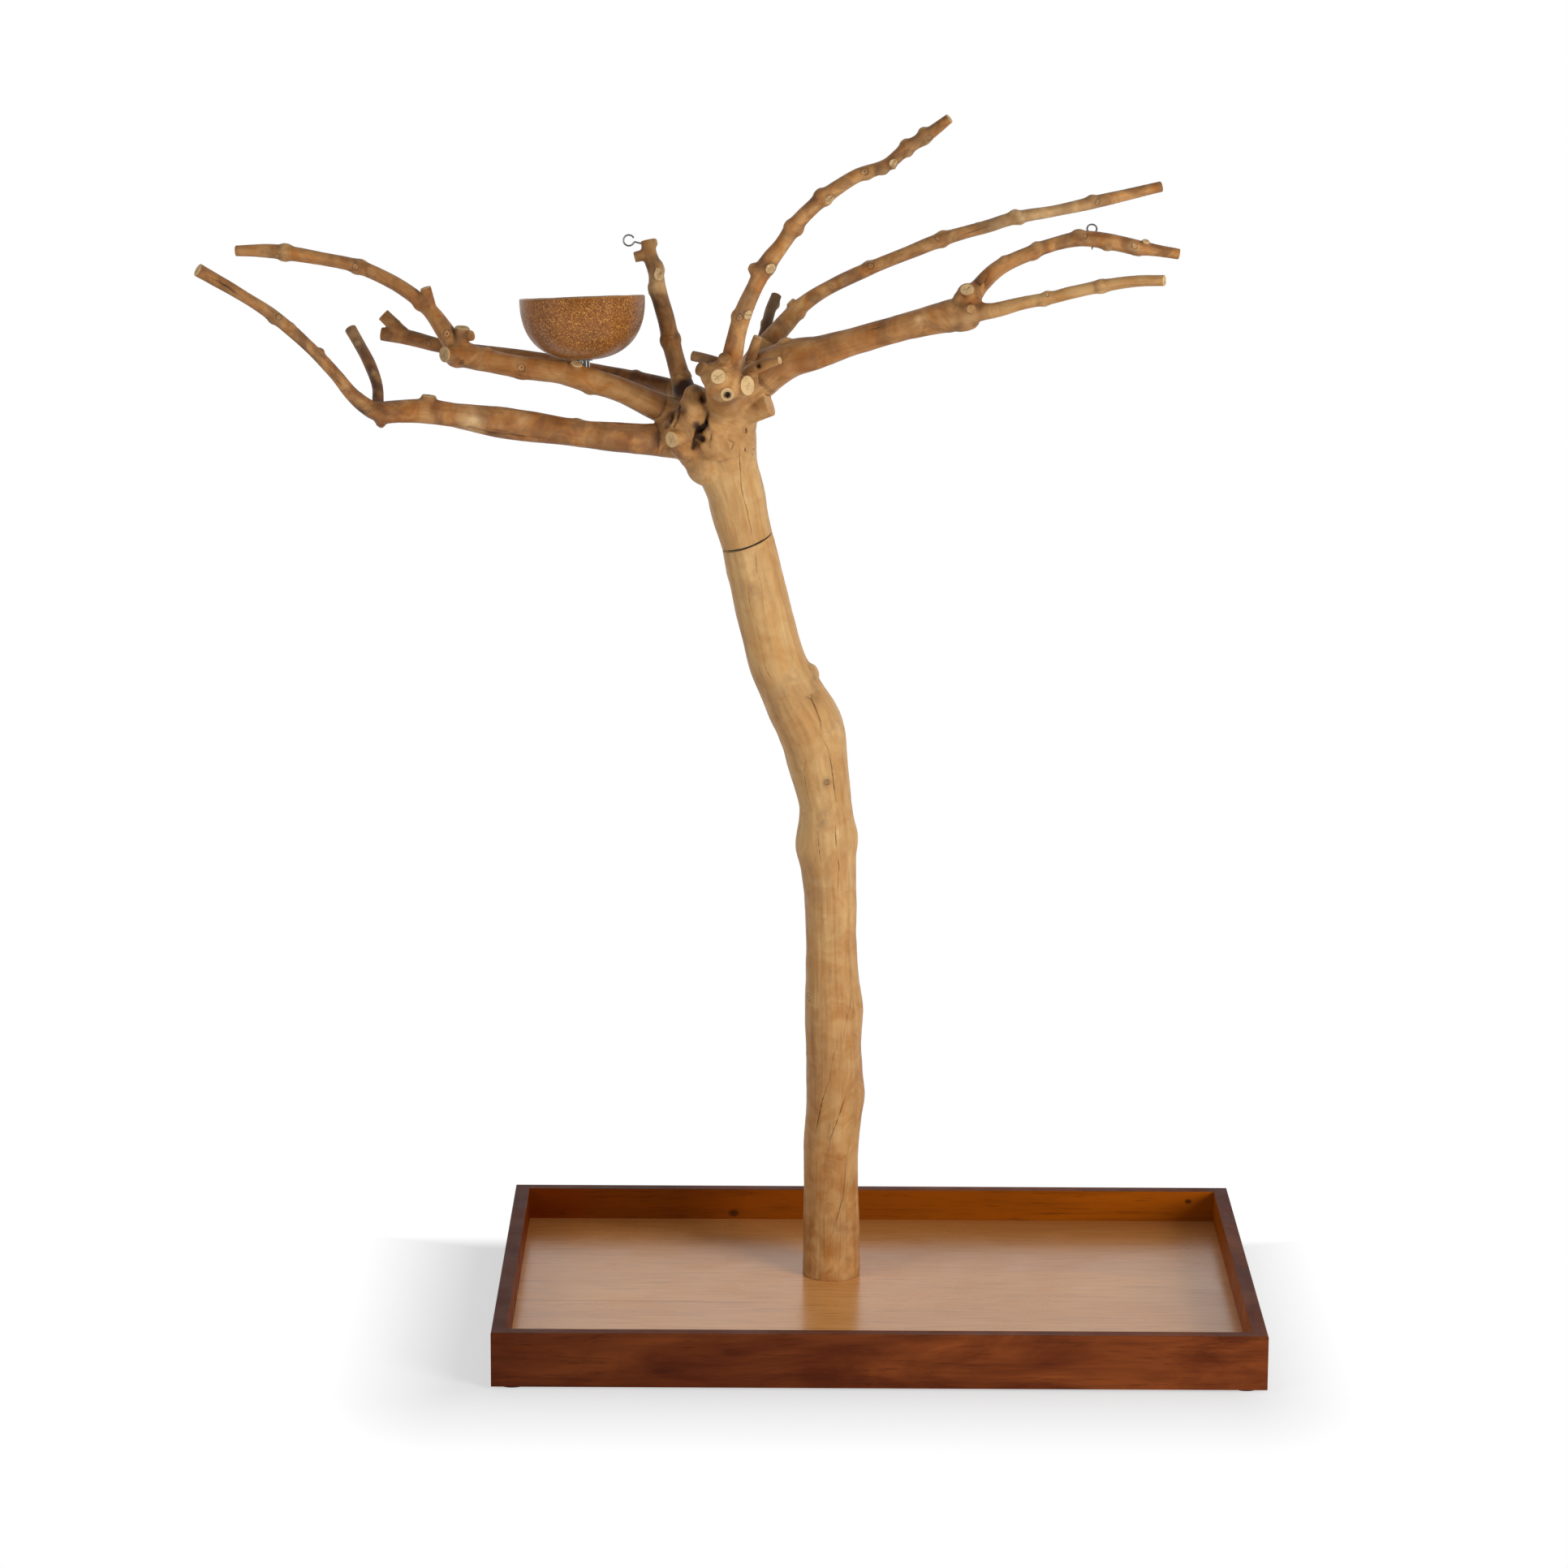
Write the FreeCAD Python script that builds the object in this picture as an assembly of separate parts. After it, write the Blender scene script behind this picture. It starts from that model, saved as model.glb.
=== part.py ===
import FreeCAD
import Part
import math
import os

# Parrot play stand: a debarked branching tree on a shallow wooden tray.
# Millimetres, X to the right, Y away from the front, Z up.
# The origin is the middle of the tray's footprint, on the surface that it stands on.
# The tree top unscrews from the trunk, and the food bowl unscrews from its limb.

V = FreeCAD.Vector

# ---- Tray -----------------------------------------------------------------
TRAY_LENGTH = 762.0
TRAY_DEPTH = 508.0
RAIL_HEIGHT = 55.0
RAIL_THICKNESS = 15.0
RAIL_ROUNDING = 1.2
PAD_HEIGHT = 3.0
PAD_DIAMETER = 28.0
PAD_INSET = 20.0
PANEL_THICKNESS = 9.0
PANEL_TOP_OVER_RAIL_FOOT = 22.0
PANEL_GROOVE_DEPTH = 6.0
CORNER_BLOCK_LEG = 42.0
NAIL_DIAMETER = 1.6
NAIL_LENGTH = 38.0
NAIL_EDGE_MARGIN = 14.0

# ---- Fixing of the trunk to the tray ---------------------------------------
CLEAT_WIDTH = 90.0
CLEAT_THICKNESS = 10.0
CLEAT_SCREW_DIAMETER = 3.5
CLEAT_SCREW_HEAD_DIAMETER = 7.0
CLEAT_SCREW_BITE = 5.0
CLEAT_SCREW_SPREAD_X = 60.0
CLEAT_SCREW_SPREAD_Y = 380.0
TRUNK_BOLT_DIAMETER = 10.0
TRUNK_BOLT_LENGTH = 70.0
TRUNK_BOLT_HEAD_WIDTH = 16.0
TRUNK_BOLT_HEAD_HEIGHT = 3.6
TRUNK_BOLT_WASHER_DIAMETER = 22.0
TRUNK_BOLT_WASHER_THICKNESS = 2.0
TRUNK_BOLT_RECESS_CLEARANCE = 1.0
FOOT_INSERT_DIAMETER = 16.0
FOOT_INSERT_LENGTH = 25.0
TRUNK_SCREW_COUNT = 3
TRUNK_SCREW_DIAMETER = 5.0
TRUNK_SCREW_HEAD_DIAMETER = 10.0
TRUNK_SCREW_LENGTH = 70.0
TRUNK_SCREW_CIRCLE_DIAMETER = 38.0
BORE_END_PLAY = 2.0

# ---- Trunk -----------------------------------------------------------------
FAIRING_STEPS = 2
# Each row of a course is a round section: right, away, up, and its diameter.
TRUNK_X = -45.0
TRUNK_Y = 50.0
TRUNK_COURSE = [
    (0, 0, 0, 59.5),
    (0, 1, 59, 58),
    (0, 1, 129, 56.5),
    (2, 1, 194, 58),
    (1, 1, 268, 57.5),
    (-2, 1, 336, 54),
    (-4, 1, 405, 54),
    (-7, 0, 452, 59),
    (-9, 0, 498, 53),
    (-17, -2, 541, 62),
    (-24, -4, 575, 67),
    (-40, -7, 608, 63),
    (-57, -10, 642, 58),
    (-68, -14, 681, 56.5),
    (-78, -19, 726, 55),
    (-89.5, -25.5, 772, 53),
]

# ---- Screwed joint between trunk and crown ---------------------------------
JOINT_LEANS_LEFT = 20.0
JOINT_LEANS_FORWARD = 7.0
JOINT_OVERRUN = 34.0
JOINT_WASHER_DIAMETER = 45.0
JOINT_WASHER_THICKNESS = 2.0
ROD_DIAMETER = 12.0
ROD_DEPTH_IN_TRUNK = 60.0
ROD_REACH_ABOVE_JOINT = 33.0
ROD_INSERT_DIAMETER = 18.0
ROD_INSERT_LENGTH = 30.0
THREAD_CLEARANCE = 0.05

# ---- Crown courses, measured from the middle of the crown's foot ------------
NECK_COURSE = [
    (0, 0, 0, 53),
    (-7, -2, 27, 55.5),
    (-11, -4, 50, 57.5),
    (-19, -6, 75, 63),
    (-24, -8, 103, 70),
    (-24, -8, 126, 60),
]
RIGHT_MAIN_COURSE = [
    (-20, -8, 112, 58),
    (-9, -12, 147, 53),
    (15, -20, 169, 44),
    (43, -28, 186, 37),
    (72, -36, 194, 31.5),
    (106, -44, 206, 27.5),
    (158, -57, 223, 26.5),
    (201, -68, 235, 32),
    (224, -74, 240, 27),
]
RIGHT_UPPER_ARM_COURSE = [
    (212, -70, 243, 24),
    (228, -67, 264, 16.7),
    (246, -64, 281, 15.7),
    (271, -60, 293, 14.7),
    (301, -56, 304, 13.7),
    (327, -53, 309, 15.2),
    (352, -50, 306.5, 15.7),
    (377, -47, 301, 15.2),
    (401, -44, 297, 11.7),
    (424, -42, 293, 10.7),
]
RIGHT_LOWER_ARM_COURSE = [
    (214, -74, 238, 21.6),
    (242, -82, 242, 14.7),
    (268, -92, 250, 12.7),
    (300, -104, 258, 12.7),
    (315, -110, 263, 12.7),
    (346, -120, 271, 12.2),
    (376, -132, 277, 11.2),
    (403, -142, 279, 10.7),
]
RIGHT_OUTER_COURSE = [
    (-14, -6, 140, 34),
    (4, 0, 172, 27),
    (20, 10, 195, 21.6),
    (39, 22, 216, 19.6),
    (53, 28, 231, 16.2),
    (80, 38, 248, 13.7),
    (121, 52, 266, 14.2),
    (161, 64, 281, 13.2),
    (191, 74, 292, 14.7),
    (219, 82, 300, 12.7),
    (240, 88, 305, 13.7),
    (268, 96, 313, 13.2),
    (309, 108, 319, 11.7),
    (346, 118, 326, 13.2),
    (380, 128, 333, 11.7),
    (418, 138, 341, 10.7),
]
KNUCKLE_COURSE = [
    (-20, -4, 130, 44),
    (-21, -34, 147, 38),
    (-22, -62, 159, 36),
    (-22, -86, 169, 36),
    (-20, -106, 175, 32),
]
TALL_COURSE = [
    (-20, -84, 158, 28),
    (-16, -92, 184, 23),
    (-13, -94, 199, 20.1),
    (-9, -97, 220, 18.2),
    (-3, -100, 241, 18.2),
    (8, -104, 266, 16.7),
    (18, -108, 286, 18.2),
    (34, -112, 308, 14.7),
    (49, -116, 330, 15.7),
    (63, -120, 345, 14.7),
    (77, -124, 357.5, 15.2),
    (106, -130, 377, 13.7),
    (134, -136, 388, 12.7),
    (152, -141, 403.5, 13.2),
    (172, -145, 417, 12.6),
    (194, -150, 434.5, 9.7),
]
LOWER_LEFT_COURSE = [
    (-26, -8, 100, 56),
    (-56, -14, 103, 45),
    (-90, -22, 104, 34),
    (-120, -32, 107, 29),
    (-157, -44, 112, 27),
    (-208, -60, 122, 26.5),
    (-247, -74, 129, 25.5),
    (-286, -88, 137, 22),
    (-312, -97, 142, 25),
    (-340, -106, 143, 22.5),
    (-361, -114, 142, 22),
]
LOWER_LEFT_ARM_COURSE = [
    (-352, -111, 142, 20.6),
    (-366, -116, 147, 17.2),
    (-383, -121, 162, 13.7),
    (-399, -126, 183, 12.2),
    (-426, -134, 213, 11.7),
    (-457, -144, 242, 12.2),
    (-488, -155, 264, 11.7),
    (-511, -164, 279, 12.2),
    (-525, -170, 288, 12.7),
]
LOWER_LEFT_TWIG_COURSE = [
    (-360, -111, 138, 12.2),
    (-360, -90, 162, 10.7),
    (-368, -72, 182, 11.7),
    (-380, -54, 201, 11.7),
    (-390, -44, 216, 11.7),
]
BOWL_LIMB_COURSE = [
    (-28, -6, 108, 46),
    (-57, -3, 119, 37),
    (-85, -6, 132, 29),
    (-121, -10, 150, 25),
    (-160, -12, 163, 25),
    (-185, -12, 169, 23),
    (-226, -10, 174, 23),
    (-258, -7, 180, 23.5),
    (-285, -4, 187, 26),
]
UPPER_LEFT_TWIG_COURSE = [
    (-279, -5, 186, 24),
    (-290, -4, 195, 20.6),
    (-300, 0, 209, 18.2),
    (-315, 6, 228, 16.2),
    (-333, 12, 243, 14.7),
    (-359, 18, 258, 13.7),
    (-390, 24, 270, 14.2),
    (-425, 32, 276, 13.2),
    (-462, 40, 281, 14.7),
    (-487, 46, 282, 13.2),
    (-511, 51, 281, 11.2),
]
BACK_LEFT_COURSE = [
    (-24, 4, 122, 28),
    (-47, 24, 138, 24),
    (-77, 42, 147, 18.7),
    (-115, 60, 154, 15.7),
    (-158, 76, 160, 14.2),
    (-214, 92, 169, 13.7),
    (-264, 104, 173, 14.2),
    (-314, 114, 179, 14.2),
    (-345, 120, 186, 15.2),
    (-372, 124, 189, 13.2),
]
HOOK_COURSE = [
    (-44, 0, 112, 30),
    (-57, 6, 134, 26),
    (-66, 20, 160, 19.4),
    (-74.5, 30, 189, 18.4),
    (-81, 40, 215, 17.2),
    (-89, 50, 242, 17.7),
    (-92, 56, 261, 15.7),
    (-98, 62, 278, 15.7),
    (-101, 66, 292, 13.2),
]
REAR_TWIG_COURSE = [
    (-6, 4, 150, 19.6),
    (5, 25, 175, 14.2),
    (14, 37, 192, 12.2),
    (19, 48, 208, 11.2),
    (23, 60, 223, 11.2),
    (29, 70, 237, 10.7),
]
KNUCKLE_TWIG_COURSE = [
    (-22, -84, 182, 12.2),
    (-30, -82, 189, 11.2),
    (-42, -80, 193, 10.2),
    (-53, -76, 195, 10.2),
]
SHORT_STUB_COURSE = [
    (-2, -30, 162, 14),
    (4, -31, 184, 12.5),
    (7, -32, 196, 10.5),
    (11, -33, 209, 9),
]
SPLIT_STUB_COURSE = [
    (-4, -22, 160, 16),
    (5, -46, 177, 13),
    (18, -60, 185, 11),
    (33, -68, 190, 7),
]

# Swellings where limbs leave the wood: centre and diameter.
SWELLINGS = {
    "crown_hub": [
        (-62, -28, 116, 46),
        (-50, -30, 138, 40),
        (-48, -16, 97, 46),
        (-40, -36, 104, 34),
        (12, -22, 140, 31),
    ],
    "limb_right_main": [(216, -70, 256, 22)],
}
# Sawn-off side shoots: where each begins, where it is cut, and its diameter.
CUT_SHOOTS = {
    "crown_hub": [((-70, -34, 110), (-73, -52, 108), 13)],
    "front_knuckle": [
        ((-22, -90, 172), (-26, -119, 180), 15),
        ((-14, -84, 166), (1, -112, 169), 14),
        ((-20, -90, 162), (-18, -119, 165), 12),
        ((-30, -84, 174), (-44, -100, 184), 14),
    ],
    "limb_right_main": [((220, -72, 244), (222, -91, 245), 14)],
    "limb_bowl": [
        ((-280, -6, 187), (-299, -16, 188), 15),
        ((-284, -5, 192), (-282, -8, 213), 14),
    ],
    "twig_upper_left": [((-313, 5, 230), (-319, 4, 251), 11)],
    "limb_back_left": [((-348, 120, 188), (-370, 122, 209), 13)],
}

# The station of each course where its own wood begins, and where its parent ends.
RIGHT_MAIN_BUTT = 2
RIGHT_ARM_BUTT = 1
RIGHT_OUTER_BUTT = 2
KNUCKLE_BUTT = 1
TALL_BUTT = 1
LOWER_LEFT_BUTT = 2
LOWER_LEFT_ARM_BUTT = 1
TWIG_BUTT = 1
BOWL_LIMB_BUTT = 2
UPPER_LEFT_TWIG_BUTT = 1
BACK_LEFT_BUTT = 2
HOOK_BUTT = 2

LIMB_DOWEL_DIAMETER = 8.0
LIMB_DOWEL_LENGTH = 40.0
TWIG_DOWEL_DIAMETER = 4.0
TWIG_DOWEL_LENGTH = 22.0

# ---- Bowl and its mounting ---------------------------------------------------
BOWL_STATION = 4
BOWL_LEANS_BACK = 6.5
BOWL_LEANS_LEFT = 2.5
BOWL_RADIUS = 62.0
BOWL_HEIGHT = 63.0
BOWL_WALL = 3.0
BOWL_FULLNESS = 2.45
BOWL_PROFILE_STEPS = 10
BOWL_FOOT_FLAT = 0.2
BOWL_BOSS_DIAMETER = 24.0
BOWL_BOSS_RISE = 9.0
BOWL_INSERT_DIAMETER = 12.0
BOWL_INSERT_LENGTH = 11.0
BOWL_SEAT_FLAT = 3.0
BOWL_SEAT_CLEARANCE = 1.0
BOWL_COLLAR_DIAMETER = 10.0
BOWL_COLLAR_HEIGHT = 7.5
BOWL_WASHER_DIAMETER = 16.0
BOWL_WASHER_THICKNESS = 1.0
BOWL_STUD_DIAMETER = 6.0
BOWL_STUD_DEPTH_IN_LIMB = 16.0
BOWL_STUD_REACH = 10.0

# ---- Screw eyes ---------------------------------------------------------------
EYE_WIRE_DIAMETER = 1.9
EYE_SHANK_LENGTH = 18.0
LEFT_EYE_RING_DIAMETER = 10.8
LEFT_EYE_GAP_DEGREES = 40.0
LEFT_EYE_RISES = 14.0
LEFT_EYE_BELOW_TIP = 5.0
LEFT_EYE_STANDS_OFF = 19.5
RIGHT_EYE_RING_DIAMETER = 9.4
RIGHT_EYE_STATION = 5
RIGHT_EYE_PAST_STATION = 11.0
RIGHT_EYE_LEANS_BACK = 30.0
RIGHT_EYE_ROUND_THE_WOOD = 58.0
RIGHT_EYE_SINKS = 0.9

# ---- Heights that follow from the sizes above ----------------------------------
RAIL_FOOT_Z = PAD_HEIGHT
PANEL_TOP_Z = RAIL_FOOT_Z + PANEL_TOP_OVER_RAIL_FOOT
PANEL_FOOT_Z = PANEL_TOP_Z - PANEL_THICKNESS
CLEAT_FOOT_Z = PANEL_FOOT_Z - CLEAT_THICKNESS

UP = V(0, 0, 1)
RIGHT = V(1, 0, 0)
AWAY = V(0, 1, 0)

PARTS = {}


def keep(name, shape):
    """Adds a finished piece under its name."""
    PARTS[name] = shape
    return shape


def group(solids):
    """Several separate solids as one node."""
    return Part.makeCompound(solids)


def leaning(left_degrees, away_degrees):
    """The upward direction tipped to the left and away from the front."""
    tip = V(-math.tan(math.radians(left_degrees)), math.tan(math.radians(away_degrees)), 1)
    return tip.normalize()


def rod(foot, direction, diameter, length):
    return Part.makeCylinder(diameter / 2, length, foot, direction)


def tube(foot, direction, outer, inner, length):
    return rod(foot, direction, outer, length).cut(rod(foot, direction, inner, length))


def countersunk_screw(foot, direction, diameter, head_diameter, length):
    """A flat-headed screw whose head lies at its foot, with a pointed end."""
    head_height = (head_diameter - diameter) / 2
    point_length = diameter
    head = Part.makeCone(head_diameter / 2, diameter / 2, head_height, foot, direction)
    shank_length = length - head_height - point_length
    shank = rod(foot + direction * head_height, direction, diameter, shank_length)
    point_foot = foot + direction * (length - point_length)
    point = Part.makeCone(diameter / 2, 0, point_length, point_foot, direction)
    return head.fuse(shank).fuse(point).removeSplitter()


def dowel_screw(middle, direction, diameter, length):
    """A headless fixing, pointed at both ends, centred on a butt face."""
    half = length / 2
    point = diameter
    solid = rod(middle - direction * (half - point), direction, diameter, length - 2 * point)
    for sign in (1, -1):
        along = direction * sign
        solid = solid.fuse(Part.makeCone(diameter / 2, 0, point, middle + along * (half - point), along))
    return solid.removeSplitter()


# ---- Round wood -----------------------------------------------------------------

def placed(course, origin):
    """A course's stations as points and diameters in the part's frame."""
    return [(origin + V(x, y, z), diameter) for x, y, z, diameter in course]


def faired(stations):
    """Adds stations on a curve that passes through the given ones, so that bends are round."""
    last = len(stations) - 1
    found = []
    for index in range(last):
        start, start_diameter = stations[index]
        end, end_diameter = stations[index + 1]
        span = (end - start).Length
        before = stations[max(index - 1, 0)][0]
        after = stations[min(index + 2, last)][0]
        leaving = (end - before).normalize() * span
        arriving = (after - start).normalize() * span
        for step in range(FAIRING_STEPS):
            t = step / FAIRING_STEPS
            rise = t * t * (3 - 2 * t)
            point = start * (1 - rise) + end * rise
            point = point + leaving * (t * (1 - t) ** 2) - arriving * (t * t * (1 - t))
            found.append((point, start_diameter * (1 - t) + end_diameter * t))
    found.append(stations[last])
    return found


def tangents(stations):
    """The grain's direction at each station, from its neighbours on both sides."""
    found = []
    last = len(stations) - 1
    for index in range(len(stations)):
        before = stations[max(index - 1, 0)][0]
        after = stations[min(index + 1, last)][0]
        found.append((after - before).normalize())
    return found


def round_section(centre, along, side, diameter):
    """A circle across the grain, as four quarter arcs that start on one side."""
    radius = diameter / 2
    other = along.cross(side)
    points = []
    for step in range(8):
        angle = math.pi / 4 * step
        points.append(centre + side * (radius * math.cos(angle)) + other * (radius * math.sin(angle)))
    arcs = []
    for step in range(0, 8, 2):
        arcs.append(Part.Arc(points[step], points[step + 1], points[(step + 2) % 8]).toShape())
    return Part.Wire(arcs)


def round_wood(stations, grain, first, last):
    """The wood between two stations of a course. The side direction is carried along it."""
    side = grain[0].cross(AWAY)
    if side.Length < 0.2:
        side = grain[0].cross(RIGHT)
    side.normalize()
    sections = []
    for index in range(last + 1):
        along = grain[index]
        side = (side - along * side.dot(along)).normalize()
        if index >= first:
            centre, diameter = stations[index]
            sections.append(round_section(centre, along, side, diameter))
    return Part.makeLoft(sections, True, True)


class Limb:
    """A length of round wood whose root belongs to its parent up to the butt station."""

    def __init__(self, course, origin, butt):
        self.stations = faired(placed(course, origin))
        self.grain = tangents(self.stations)
        self.butt = butt * FAIRING_STEPS
        self.last = len(self.stations) - 1
        self.root = round_wood(self.stations, self.grain, 0, self.butt)
        self.wood = round_wood(self.stations, self.grain, self.butt, self.last)

    def station(self, index):
        """The point, the radius and the grain's direction at a station of the course."""
        index = index * FAIRING_STEPS
        point, diameter = self.stations[index]
        return point, diameter / 2, self.grain[index]

    def dowel(self, diameter, length):
        centre = self.stations[self.butt][0]
        return dowel_screw(centre, self.grain[self.butt], diameter, length)


def beyond(point, direction, reach):
    """A block that fills the space past a plane."""
    block = Part.makeBox(2 * reach, 2 * reach, reach, V(-reach, -reach, 0))
    turn = FreeCAD.Rotation(UP, direction)
    block.Placement = FreeCAD.Placement(point, turn)
    return block


# ---- Tray --------------------------------------------------------------------

def make_panel():
    reach = RAIL_THICKNESS - PANEL_GROOVE_DEPTH
    length = TRAY_LENGTH - 2 * reach
    depth = TRAY_DEPTH - 2 * reach
    return Part.makeBox(length, depth, PANEL_THICKNESS, V(-length / 2, -depth / 2, PANEL_FOOT_Z))


def tray_corners(inset):
    """The plan's four corners, from front left and round by the right."""
    x = TRAY_LENGTH / 2 - inset
    y = TRAY_DEPTH / 2 - inset
    return [V(-x, -y, RAIL_FOOT_Z), V(x, -y, RAIL_FOOT_Z), V(x, y, RAIL_FOOT_Z), V(-x, y, RAIL_FOOT_Z)]


def make_rail(side):
    """One mitred rail with its two top arrises eased. The panel's groove comes later."""
    outer = tray_corners(0)
    inner = tray_corners(RAIL_THICKNESS)
    after = (side + 1) % 4
    plan = Part.makePolygon([outer[side], outer[after], inner[after], inner[side], outer[side]])
    rail = Part.Face(plan).extrude(UP * RAIL_HEIGHT)
    run = (outer[after] - outer[side]).normalize()
    top = RAIL_FOOT_Z + RAIL_HEIGHT
    arrises = []
    for edge in rail.Edges:
        ends = [vertex.Point for vertex in edge.Vertexes]
        at_top = min(end.z for end in ends) > top - 0.01
        lengthwise = abs((ends[1] - ends[0]).normalize().dot(run)) > 0.99
        if at_top and lengthwise:
            arrises.append(edge)
    return rail.makeFillet(RAIL_ROUNDING, arrises)


def make_nails():
    """Two nails at each corner, driven in from the left and right ends."""
    nails = []
    y = TRAY_DEPTH / 2 - RAIL_THICKNESS / 2
    heights = (RAIL_FOOT_Z + NAIL_EDGE_MARGIN / 2, RAIL_FOOT_Z + RAIL_HEIGHT - NAIL_EDGE_MARGIN)
    for end in (-1, 1):
        for row in (-1, 1):
            for height in heights:
                foot = V(end * TRAY_LENGTH / 2, row * y, height)
                nails.append(rod(foot, RIGHT * -end, NAIL_DIAMETER, NAIL_LENGTH))
    return nails


def make_corner_blocks():
    blocks = []
    height = PANEL_FOOT_Z - RAIL_FOOT_Z
    for corner in tray_corners(RAIL_THICKNESS):
        inward_x = V(-math.copysign(CORNER_BLOCK_LEG, corner.x), 0, 0)
        inward_y = V(0, -math.copysign(CORNER_BLOCK_LEG, corner.y), 0)
        plan = Part.makePolygon([corner, corner + inward_x, corner + inward_y, corner])
        blocks.append(Part.Face(plan).extrude(UP * height))
    return blocks


def make_pads():
    return [rod(V(c.x, c.y, 0), UP, PAD_DIAMETER, PAD_HEIGHT) for c in tray_corners(PAD_INSET)]


def make_tray():
    panel = make_panel()
    nails = make_nails()
    all_nails = group(nails)
    names = ("rail_front", "rail_right", "rail_back", "rail_left")
    for side, name in enumerate(names):
        keep(name, make_rail(side).cut(panel).cut(all_nails))
    keep("rail_nails", all_nails)
    keep("corner_blocks", group(make_corner_blocks()))
    keep("foot_pads", group(make_pads()))
    return panel


# ---- Fixing of the trunk -------------------------------------------------------

def make_trunk_fixing(panel, trunk):
    """The cleat under the panel, with the bolt and the screws that hold the trunk."""
    foot = V(TRUNK_X, TRUNK_Y, CLEAT_FOOT_Z)
    cleat_length = TRAY_DEPTH - 2 * RAIL_THICKNESS
    cleat_corner = V(TRUNK_X - CLEAT_WIDTH / 2, -cleat_length / 2, CLEAT_FOOT_Z)
    cleat = Part.makeBox(CLEAT_WIDTH, cleat_length, CLEAT_THICKNESS, cleat_corner)

    recess_depth = TRUNK_BOLT_HEAD_HEIGHT + TRUNK_BOLT_WASHER_THICKNESS
    recess_diameter = TRUNK_BOLT_WASHER_DIAMETER + 2 * TRUNK_BOLT_RECESS_CLEARANCE
    cleat = cleat.cut(rod(foot, UP, recess_diameter, recess_depth))
    bearing = foot + UP * recess_depth
    washer_foot = bearing - UP * TRUNK_BOLT_WASHER_THICKNESS

    head = Part.makeCylinder(TRUNK_BOLT_HEAD_WIDTH / math.sqrt(3), TRUNK_BOLT_HEAD_HEIGHT, foot, UP)
    for step in range(6):
        angle = math.pi / 3 * step
        outward = V(math.cos(angle), math.sin(angle), 0)
        flat = beyond(foot + outward * (TRUNK_BOLT_HEAD_WIDTH / 2), outward, TRUNK_BOLT_HEAD_WIDTH)
        head = head.cut(flat)
    bolt = head.fuse(rod(washer_foot, UP, TRUNK_BOLT_DIAMETER, TRUNK_BOLT_LENGTH))
    keep("trunk_bolt", bolt)
    washer = tube(
        washer_foot, UP, TRUNK_BOLT_WASHER_DIAMETER, TRUNK_BOLT_DIAMETER, TRUNK_BOLT_WASHER_THICKNESS
    )
    keep("trunk_bolt_washer", washer)

    insert_foot = V(TRUNK_X, TRUNK_Y, PANEL_TOP_Z)
    insert = tube(insert_foot, UP, FOOT_INSERT_DIAMETER, TRUNK_BOLT_DIAMETER, FOOT_INSERT_LENGTH)
    keep("foot_insert", insert)

    screws = []
    for step in range(TRUNK_SCREW_COUNT):
        angle = 2 * math.pi / TRUNK_SCREW_COUNT * (step + 0.25)
        outward = V(math.cos(angle), math.sin(angle), 0)
        screw_foot = foot + outward * (TRUNK_SCREW_CIRCLE_DIAMETER / 2)
        screws.append(
            countersunk_screw(
                screw_foot, UP, TRUNK_SCREW_DIAMETER, TRUNK_SCREW_HEAD_DIAMETER, TRUNK_SCREW_LENGTH
            )
        )
    all_screws = keep("trunk_screws", group(screws))

    cleat_screws = []
    for x_side in (-1, 1):
        for y_side in (-1, 1):
            x = TRUNK_X + x_side * CLEAT_SCREW_SPREAD_X / 2
            y = y_side * CLEAT_SCREW_SPREAD_Y / 2
            cleat_screws.append(
                countersunk_screw(
                    V(x, y, CLEAT_FOOT_Z),
                    UP,
                    CLEAT_SCREW_DIAMETER,
                    CLEAT_SCREW_HEAD_DIAMETER,
                    CLEAT_THICKNESS + CLEAT_SCREW_BITE,
                )
            )
    all_cleat_screws = keep("cleat_screws", group(cleat_screws))

    shank = rod(washer_foot, UP, TRUNK_BOLT_DIAMETER, TRUNK_BOLT_LENGTH)
    keep("trunk_cleat", cleat.cut(shank).cut(all_screws).cut(all_cleat_screws))
    keep("tray_floor", panel.cut(shank).cut(all_screws).cut(all_cleat_screws))
    bolt_bore = rod(washer_foot, UP, TRUNK_BOLT_DIAMETER, TRUNK_BOLT_LENGTH + BORE_END_PLAY)
    insert_bore = rod(insert_foot, UP, FOOT_INSERT_DIAMETER, FOOT_INSERT_LENGTH)
    return trunk.cut(bolt_bore).cut(insert_bore).cut(all_screws)


# ---- Trunk and the screwed joint -------------------------------------------------

def trunk_foot():
    return V(TRUNK_X, TRUNK_Y, PANEL_TOP_Z)


def joint_axis():
    return leaning(JOINT_LEANS_LEFT, -JOINT_LEANS_FORWARD)


def joint_face():
    """The middle of the trunk's sawn top."""
    x, y, z, diameter = TRUNK_COURSE[-1]
    return trunk_foot() + V(x, y, z)


def crown_foot():
    return joint_face() + joint_axis() * JOINT_WASHER_THICKNESS


def overrun_station(course, end, step):
    """A station past one end of a course, so that a slanted cut leaves no gap."""
    x, y, z, diameter = course[end]
    beside = course[end - step]
    outward = V(x - beside[0], y - beside[1], z - beside[2]).normalize() * JOINT_OVERRUN
    return (x + outward.x, y + outward.y, z + outward.z, diameter)


def make_trunk():
    course = TRUNK_COURSE + [overrun_station(TRUNK_COURSE, -1, 1)]
    stations = faired(placed(course, trunk_foot()))
    grain = tangents(stations)
    grain[0] = UP
    trunk = round_wood(stations, grain, 0, len(stations) - 1)
    return trunk.cut(beyond(joint_face(), joint_axis(), 4 * JOINT_OVERRUN))


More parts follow.
